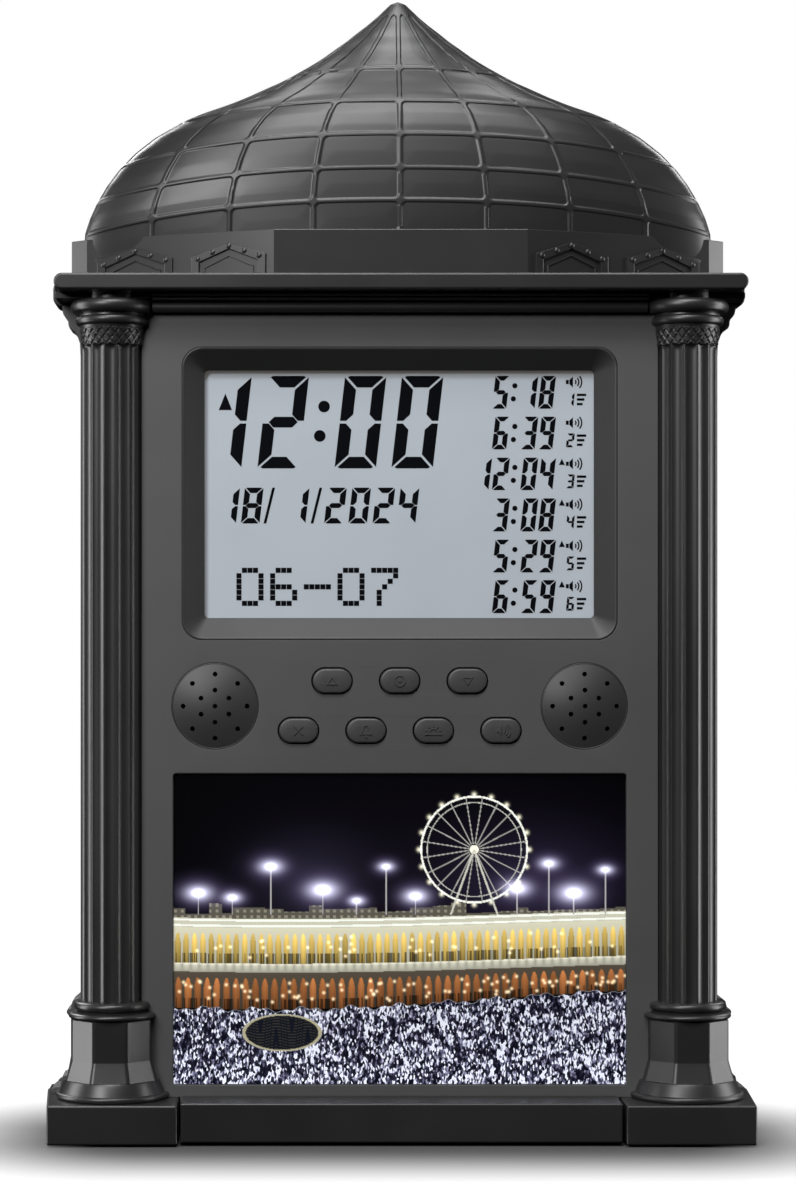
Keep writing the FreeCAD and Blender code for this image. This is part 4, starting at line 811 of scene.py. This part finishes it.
# round-the-clock dot matrix, plain digits
DOT = {"0": ["01110", "10001", "10001", "10001", "10001", "10001", "01110"], "6": ["01110", "10000", "10000", "11110", "10001", "10001", "01110"],
       "7": ["11111", "00001", "00010", "00100", "01000", "01000", "01000"], "-": ["00000", "00000", "00000", "11111", "00000", "00000", "00000"]}
for c, ch in enumerate("06-07"):
    for r in range(7):
        for q in range(5):
            if DOT[ch][r][q] == "1":
                x, z = lcd_point(258 + c * 110 + q * 18 + (6 - r) * 0.0, 777 + r * 18 + 8)
                h = 8.3 * 0.33215 / 3.267
                polys.append([(x - h, z - h), (x + h, z - h), (x + h, z + h), (x - h, z + h)])
def icon_speaker(u, v, k=1.35):
    x, z = lcd_point(u, v)
    g = 0.10167 * k
    polys.append([(x, z - 5 * g), (x + 7 * g, z - 5 * g), (x + 7 * g, z + 5 * g), (x, z + 5 * g)])
    polys.append([(x + 8.5 * g, z - 5 * g), (x + 17 * g, z - 13 * g), (x + 17 * g, z + 13 * g), (x + 8.5 * g, z + 5 * g)])
    for r in (9, 16, 23):
        a = np.linspace(-0.72, 0.72, 9)
        polys.append([(x + (17 + r * math.cos(t)) * g, z + r * math.sin(t) * g) for t in a] + [(x + (17 + (r - 3.4) * math.cos(t)) * g, z + (r - 3.4) * math.sin(t) * g) for t in a[::-1]])
for i, v0 in enumerate((150, 283, 417, 550, 685, 817)):
    icon_speaker(1326, v0 + 20)
    x, z = lcd_point(1326, v0 + 100)
    polys.extend(seg_polys(str(i + 1), x, z, 2.5, 4.6, 0.8, 0.1))
    for q in range(3):
        x, z = lcd_point(1362, v0 + 62 + 15 * q)
        polys.append([(x, z - 0.4), (x + 3.1 - 0.6 * q, z - 0.4), (x + 3.1 - 0.6 * q, z + 0.4), (x, z + 0.4)])
    if i >= 2:
        x, z = lcd_point(1303, v0 + 14)
        polys.append([(x, z - 1.0), (x + 2.0, z - 1.0), (x + 1.0, z + 1.1)])
x, z = lcd_point(192, 236)
polys.append([(x, z - 2.6), (x + 4.4, z - 2.6), (x + 2.2, z + 2.9)])
b = Build()
for p in polys:
    plate(b, [p], INK_D - 0.03, INK_D + 0.02, bev=0.0)
make("display_digits", b.v, b.f, M["ink"], smooth=False)

# ------------------------------------------------------------------ picture
def picture_material():
    m = bpy.data.materials.new("printed_picture_painted_glow")
    N, L = nt(m)
    out = N.new("ShaderNodeOutputMaterial"); b = N.new("ShaderNodeBsdfPrincipled")
    col = N.new("ShaderNodeAttribute"); col.attribute_name = "print_col"
    fld = N.new("ShaderNodeAttribute"); fld.attribute_name = "field"
    tc = N.new("ShaderNodeTexCoord")
    mp = N.new("ShaderNodeMapping"); mp.inputs["Scale"].default_value = (1.5, 1.0, 0.72)
    L.new(tc.outputs["Object"], mp.inputs["Vector"])
    vo = N.new("ShaderNodeTexVoronoi"); vo.inputs["Scale"].default_value = 1250.0
    nz = N.new("ShaderNodeTexNoise"); nz.inputs["Scale"].default_value = 330.0; nz.inputs["Detail"].default_value = 3
    L.new(mp.outputs["Vector"], vo.inputs["Vector"]); L.new(tc.outputs["Object"], nz.inputs["Vector"])
    sp = N.new("ShaderNodeSeparateColor"); L.new(vo.outputs["Color"], sp.inputs["Color"])
    mx = N.new("ShaderNodeMath"); mx.operation = "MULTIPLY_ADD"; mx.inputs[1].default_value = 0.72
    L.new(sp.outputs["Red"], mx.inputs[0]); L.new(nz.outputs["Fac"], mx.inputs[2])
    cr = N.new("ShaderNodeValToRGB"); e = cr.color_ramp.elements
    e[0].position, e[0].color = 0.60, (0.004, 0.004, 0.010, 1)
    e[1].position, e[1].color = 1.0, (0.92, 0.90, 0.93, 1)
    for p_, c_ in ((0.79, (0.030, 0.027, 0.048, 1)), (0.88, (0.17, 0.16, 0.24, 1)), (0.95, (0.48, 0.46, 0.56, 1))):
        q = e.new(p_); q.color = c_
    half = N.new("ShaderNodeMath"); half.operation = "MULTIPLY"; half.inputs[1].default_value = 0.92
    L.new(mx.outputs["Value"], half.inputs[0]); L.new(half.outputs["Value"], cr.inputs["Fac"])
    mul = N.new("ShaderNodeMix"); mul.data_type = "RGBA"; mul.blend_type = "MULTIPLY"; mul.inputs[0].default_value = 1.0
    L.new(cr.outputs["Color"], mul.inputs[6]); L.new(col.outputs["Color"], mul.inputs[7])
    mi = N.new("ShaderNodeMix"); mi.data_type = "RGBA"
    L.new(fld.outputs["Fac"], mi.inputs[0]); L.new(col.outputs["Color"], mi.inputs[6]); L.new(mul.outputs[2], mi.inputs[7])
    L.new(mi.outputs[2], b.inputs["Base Color"]); L.new(mi.outputs[2], b.inputs["Emission Color"])
    # the printed card glows: painted light that makes the print look lit; no lamp lies behind it
    b.inputs["Emission Strength"].default_value = 0.45
    b.inputs["Roughness"].default_value = 0.35
    b.inputs["Specular IOR Level"].default_value = 0.12
    L.new(b.outputs["BSDF"], out.inputs["Surface"])
    return m
M["print"] = picture_material()

def paint(nx, nz):
    """Night promenade: lamps over a lit arcade on a long curve, an observation wheel, and a field of small lights and
    flowers below.
    """
    rng = np.random.default_rng(11)
    X, T = np.meshgrid(np.linspace(0, 1, nx), np.linspace(0, 1, nz))
    C = np.zeros((nz, nx, 3)); F = np.zeros((nz, nx))
    asp = 102.9 / 149.7
    def glow(cx, ct, r, col, k=1.0, sx=1.0):
        g = np.exp(-(((X - cx) / sx) ** 2 + ((T - ct) * asp) ** 2) / (2 * r * r)) * k
        C[...] += g[..., None] * np.array(col)
    glow(0.80, 0.36, 0.08, (0.10, 0.07, 0.16), 0.14, 1.7)
    glow(0.30, 0.34, 0.06, (0.10, 0.08, 0.15), 0.14, 1.5)
    glow(0.55, 0.40, 0.22, (0.003, 0.002, 0.004), 1.0, 1.6)
    # skyline of low lit houses
    edge = np.zeros(nx); x = 0.0
    while x < 1:
        wd = rng.uniform(0.02, 0.075); h = rng.uniform(0.012, 0.05) * (1.0 if x < 0.62 else 0.45)
        edge[int(x * nx):int((x + wd) * nx) + 1] = h; x += wd
    base = 0.452 + 0.016 * np.cos((X - 0.25) * 3.0)
    city = (T > base - edge[None, :]) & (T < base)
    shade = 0.10 + 0.16 * (np.sin(X * 410) > 0.2) * (np.sin(T * 330) > -0.1)
    C[city] = (np.array([1.0, 0.86, 0.62]) * shade[..., None])[city]
    # parapet wall above the arcade
    wall = (T >= base) & (T < base + 0.030)
    C[wall] = (np.array([0.80, 0.74, 0.56]) * (0.55 + 0.35 * np.sin(X * 900) ** 2)[..., None])[wall]
    for off, wdt in ((0.006, 0.003), (0.024, 0.003)):
        ln = np.abs(T - base - off) < wdt
        C[ln] = (0.95, 0.92, 0.78)
    def arcade(t0, h, period, arch, pier, spark, seed):
        tt = (T - t0) / h
        m = (tt >= 0) & (tt < 1)
        ph = (X / period) % 1.0
        a = np.abs(ph - 0.5) * 2
        top = 0.16 + 0.30 * np.clip(a / 0.74, 0, 1) ** 2.2
        hole = (a < 0.70) & (tt > top)
        r2 = np.random.default_rng(seed)
        amp = r2.uniform(0.55, 1.15, int(1 / period) + 3)[(X / period).astype(int)]
        fall = np.clip(1.15 - 0.75 * np.clip((tt - top) / (1 - top), 0, 1), 0, 1.2) * (0.75 + 0.25 * np.cos(a * 3.0))
        col = np.array(arch) * (fall * amp)[..., None]
        colp = np.array(pier) * (0.85 - 0.35 * tt)[..., None]
        C[m] = np.where(hole[..., None], col, colp)[m]
        fig = m & (tt > 0.72) & (np.sin(X * 1700 + 9 * np.sin(X * 230)) > 0.0)
        C[fig] *= 0.25
        if spark:
            for _ in range(spark):
                cx = r2.uniform(0, 1); i = int(cx * (nx - 1)); tc_ = t0[0, i] + h * r2.uniform(0.25, 0.85)
                g = np.exp(-(((X - cx) ** 2 + ((T - tc_) * asp) ** 2) / (2 * 0.0022 ** 2)))
                C[...] += g[..., None] * np.array((1.0, 0.72, 0.42)) * 1.1
    up = base + 0.030
    arcade(up, 0.115, 1 / 54.0, (1.0, 0.66, 0.16), (0.80, 0.73, 0.52), 40, 3)
    led = (T >= up + 0.115) & (T < up + 0.143)
    ttl = (T - up - 0.115) / 0.028
    C[led] = (np.array([0.72, 0.66, 0.50]) * (0.50 + 0.5 * np.abs(np.sin(X * 165)) * (1 - ttl) + 0.2 * (ttl < 0.2))[..., None])[led]
    lo = up + 0.143
    hl = 0.100 + 0.02 * np.sin(X * 3.1 + 1.0)
    arcade(lo, hl, 1 / 47.0, (0.50, 0.17, 0.05), (0.10, 0.075, 0.05), 90, 8)
    # field of small lights and flowers
    fe = lo + hl + 0.006 * np.sin(X * 60) + 0.004 * np.sin(X * 173)
    fm = T > fe
    C[fm] = (np.array([0.98, 0.97, 1.0]) * (0.72 + 0.28 * (T - 0.65) / 0.35)[..., None])[fm]
    F[fm] = 1.0
    # round dark pool with a pale rim in the field
    pool = ((X - 0.24) / 0.088) ** 2 + ((T - 0.835) / 0.060) ** 2
    ring = (pool < 1.0)
    C[ring] = (0.42, 0.36, 0.22); F[ring] = 0.0
    wat = pool < 0.84
    C[wat] = (np.array([0.006, 0.007, 0.012]) + 0.05 * (np.sin(T * 700 + 3 * np.sin(X * 90)) > 0.86)[..., None] * np.array((1, .8, .4)))[wat]
    # observation wheel with lit rim and spokes, seen over the wall
    wx, wt, wr = 0.665, 0.245, 0.118
    rr = np.hypot(X - wx, (T - wt) * asp)
    ang = np.arctan2((T - wt) * asp, X - wx)
    sp = np.abs(((ang / (2 * math.pi) * 20) % 1.0) - 0.5) * 2 * math.pi / 20 * np.maximum(rr, 1e-4)
    for k0_, k1_, lum in ((wr - 0.0030, wr + 0.0012, 0.95), (wr - 0.0150, wr - 0.0130, 0.55)):
        g = (rr > k0_) & (rr < k1_)
        C[g] = np.array((1.0, 0.95, 0.80)) * lum
    g = (rr < wr) & (sp < 0.0011) & (rr > 0.012)
    C[g] = (0.42, 0.39, 0.34)
    C[rr < 0.010] = (1.0, 0.92, 0.70)
    for q in range(20):
        a_ = 2 * math.pi * q / 20
        glow(wx + (wr + 0.004) * math.cos(a_), wt + (wr + 0.004) * math.sin(a_) / asp, 0.0032, (1.0, 0.9, 0.65), 1.0)
    for sgn in (-1, 1):
        leg = (np.abs((X - wx) - sgn * (T - wt) * asp * 0.36) < 0.0022) & (T > wt) & (T < 0.455)
        C[leg] = (0.60, 0.56, 0.46)
    # lamps
    for cx, ct, r, k in ((0.055, 0.385, 0.010, 1), (0.13, 0.40, 0.007, 1), (0.215, 0.30, 0.009, 1), (0.33, 0.375, 0.012, 1), (0.405, 0.41, 0.006, 1),
                         (0.47, 0.30, 0.006, 1), (0.535, 0.395, 0.009, 1), (0.76, 0.37, 0.010, 1), (0.83, 0.29, 0.007, 1), (0.885, 0.385, 0.012, 1), (0.955, 0.31, 0.006, 1)):
        r = r * 0.72
        pole = (np.abs(X - cx) < 0.0013) & (T > ct) & (T < 0.455)
        C[pole] = (0.42, 0.38, 0.36)
        glow(cx, ct, r * 2.6, (0.20, 0.15, 0.30), 0.5, 1.5)
        glow(cx, ct, r * 1.35, (0.9, 0.84, 1.0), 1.0, 1.7)
        glow(cx, ct, r * 0.7, (1.2, 1.2, 1.2), 1.0, 1.5)
    return np.clip(C, 0.0, 1.0), F

def build_picture():
    lo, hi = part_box("picture_card")
    nx, nz = 640, 440
    C, F = paint(nx, nz)
    xs = np.linspace(lo.x, hi.x, nx); zs = np.linspace(hi.z, lo.z, nz)
    XX, ZZ = np.meshgrid(xs, zs)
    V = np.stack([XX, np.full_like(XX, lo.y + 0.00004), ZZ], -1).reshape(-1, 3)
    i = np.arange((nz - 1) * (nx - 1)); r = i // (nx - 1); c = i % (nx - 1); k = r * nx + c
    Q = np.stack([k, k + nx, k + nx + 1, k + 1], 1)
    edge = list(range(nx)) + [q * nx + nx - 1 for q in range(1, nz)] + [(nz - 1) * nx + q for q in range(nx - 2, -1, -1)] + [q * nx for q in range(nz - 2, 0, -1)]
    nb = len(edge); k0 = len(V)
    VB = V[edge].copy(); VB[:, 1] = hi.y
    faces = [tuple(q) for q in Q.tolist()]
    faces += [(edge[q], edge[(q + 1) % nb], k0 + (q + 1) % nb, k0 + q) for q in range(nb)]
    faces.append(tuple(k0 + q for q in range(nb - 1, -1, -1)))
    me = bpy.data.meshes.new("picture_print")
    me.from_pydata(np.concatenate([V, VB]).tolist(), [], faces)
    ca = me.color_attributes.new("print_col", "FLOAT_COLOR", "POINT")
    full = np.ones((k0 + nb, 4), np.float32) * 0.8; full[:, 3] = 1
    full[:k0, :3] = C.reshape(-1, 3)
    ca.data.foreach_set("color", full.ravel())
    fa = me.attributes.new("field", "FLOAT", "POINT")
    ff = np.zeros(k0 + nb, np.float32); ff[:k0] = F.reshape(-1)
    fa.data.foreach_set("value", ff)
    o = bpy.data.objects.new("picture_print", me)
    bpy.context.scene.collection.objects.link(o)
    me.materials.append(M["print"])
    bm = bmesh.new(); bm.from_mesh(me); bmesh.ops.recalc_face_normals(bm, faces=bm.faces); bm.to_mesh(me); bm.free()
    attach(o, ROOT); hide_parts("picture_card")
build_picture()

# ------------------------------------------------------------------ carried-over pieces
CARRY = {
    "lcd_window": "clear", "picture_window": "clear", "lcd_glass": "lcd", "lcd_backlight": "white", "lcd_holder": "holder", "lcd_contact_strips": "rubber",
    "main_board": "pcb", "clock_chip": "chip", "sound_memory_chip": "chip", "amplifier_chip": "chip", "crystal": "steel", "capacitors": "chip",
    "board_screws": "steel", "keypad_board": "pcb", "keypad_screws": "steel", "tact_switches": "chip", "rear_cover": "shell_cad",
    "case_screws": "steel", "battery_door": "shell_cad", "battery_cell_1": "cell", "battery_cell_2": "cell", "battery_cell_3": "cell",
    "battery_springs": "steel", "battery_contacts": "steel", "rubber_feet": "rubber", "battery_lead": "lead_red", "keypad_ribbon": "lead_grey"}
for s in ("left", "right"):
    CARRY["speaker_frame_" + s] = "steel"; CARRY["speaker_cone_" + s] = "cone"; CARRY["speaker_magnet_" + s] = "magnet"
    CARRY["speaker_clamp_" + s] = "holder"; CARRY["speaker_lead_" + s] = "lead_grey"
for n, k in CARRY.items():
    assign(nodes[n], M[k])

# ------------------------------------------------------------------ stage and light
def stage_plane():
    me = bpy.data.meshes.new("studio_floor")
    n = 96
    v = [(0.0, 0.0, 0.0)] + [(9.0 * math.cos(2 * math.pi * i / n), 9.0 * math.sin(2 * math.pi * i / n), 0.0) for i in range(n)]
    me.from_pydata(v, [], [(0, 1 + i, 1 + (i + 1) % n) for i in range(n)])
    o = bpy.data.objects.new("studio_floor", me)
    bpy.context.scene.collection.objects.link(o)
    m = bpy.data.materials.new("studio_floor_painted_shadow"); N, L = nt(m)
    out = N.new("ShaderNodeOutputMaterial"); bs = N.new("ShaderNodeBsdfDiffuse"); bs.inputs["Color"].default_value = (0.09, 0.09, 0.09, 1)
    em = N.new("ShaderNodeEmission"); ad = N.new("ShaderNodeAddShader"); tc = N.new("ShaderNodeTexCoord")
    # emission rises from nothing at the clock's footprint to full strength away from it: a painted contact shadow
    # around the base
    ln = N.new("ShaderNodeVectorMath"); ln.operation = "LENGTH"
    mr = N.new("ShaderNodeMapRange"); mr.interpolation_type = "SMOOTHSTEP"
    mr.inputs["From Min"].default_value, mr.inputs["From Max"].default_value = 0.018, 0.098
    mr.inputs["To Min"].default_value, mr.inputs["To Max"].default_value = 0.0, 1.0
    sx = N.new("ShaderNodeSeparateXYZ"); cx = N.new("ShaderNodeCombineXYZ")
    L.new(tc.outputs["Object"], sx.inputs["Vector"])
    for axis, half in (("X", 0.084), ("Y", 0.010)):
        ab = N.new("ShaderNodeMath"); ab.operation = "ABSOLUTE"; sb = N.new("ShaderNodeMath"); sb.operation = "SUBTRACT"; sb.inputs[1].default_value = half
        mxn = N.new("ShaderNodeMath"); mxn.operation = "MAXIMUM"; mxn.inputs[1].default_value = 0.0
        L.new(sx.outputs[axis], ab.inputs[0]); L.new(ab.outputs["Value"], sb.inputs[0]); L.new(sb.outputs["Value"], mxn.inputs[0]); L.new(mxn.outputs["Value"], cx.inputs[axis])
    L.new(cx.outputs["Vector"], ln.inputs[0]); L.new(ln.outputs["Value"], mr.inputs["Value"]); L.new(mr.outputs["Result"], em.inputs["Strength"])
    L.new(bs.outputs["BSDF"], ad.inputs[0]); L.new(em.outputs["Emission"], ad.inputs[1])
    L.new(ad.outputs["Shader"], out.inputs["Surface"])
    me.materials.append(m)
    o.visible_diffuse = o.visible_glossy = False
stage_plane()

def area(name, loc, target, sx, sy, power, col=(1, 1, 1)):
    ld = bpy.data.lights.new(name, "AREA"); ld.shape = "RECTANGLE"; ld.size, ld.size_y = sx, sy; ld.energy = power; ld.color = col
    o = bpy.data.objects.new(name, ld)
    bpy.context.scene.collection.objects.link(o)
    o.location = loc
    o.rotation_euler = (Vector(target) - Vector(loc)).to_track_quat("-Z", "Y").to_euler()
    return o
area("softbox_left", (-1.0, 0.08, 0.20), (0, 0, 0.19), 0.42, 1.0, 9)
area("softbox_right", (1.0, 0.05, 0.20), (0, 0, 0.19), 0.42, 1.0, 10)
area("softbox_key", (-0.62, -1.05, 0.72), (0, 0, 0.22), 0.45, 0.45, 10)
area("softbox_top", (0.0, -0.66, 1.25), (0, 0, 0.16), 0.9, 0.30, 8)
area("softbox_floor", (0.0, 0.16, 1.3), (0, 0.0, 0), 0.7, 0.35, 7)
area("softbox_back_left", (-0.75, 1.25, 1.05), (0, 0, 0.2), 0.6, 0.6, 10)
area("softbox_back_right", (0.85, 1.15, 1.00), (0, 0, 0.15), 0.5, 0.5, 5)
w = bpy.data.worlds.new("studio"); bpy.context.scene.world = w
w.use_nodes = True
w.node_tree.nodes["Background"].inputs["Color"].default_value = (1, 1, 1, 1)
w.node_tree.nodes["Background"].inputs["Strength"].default_value = 1.0
w.cycles_visibility.diffuse = w.cycles_visibility.glossy = w.cycles_visibility.transmission = w.cycles_visibility.scatter = False
area("fill_front", (-0.15, -0.95, 1.30), (0, 0, 0.28), 0.5, 0.4, 8.5)
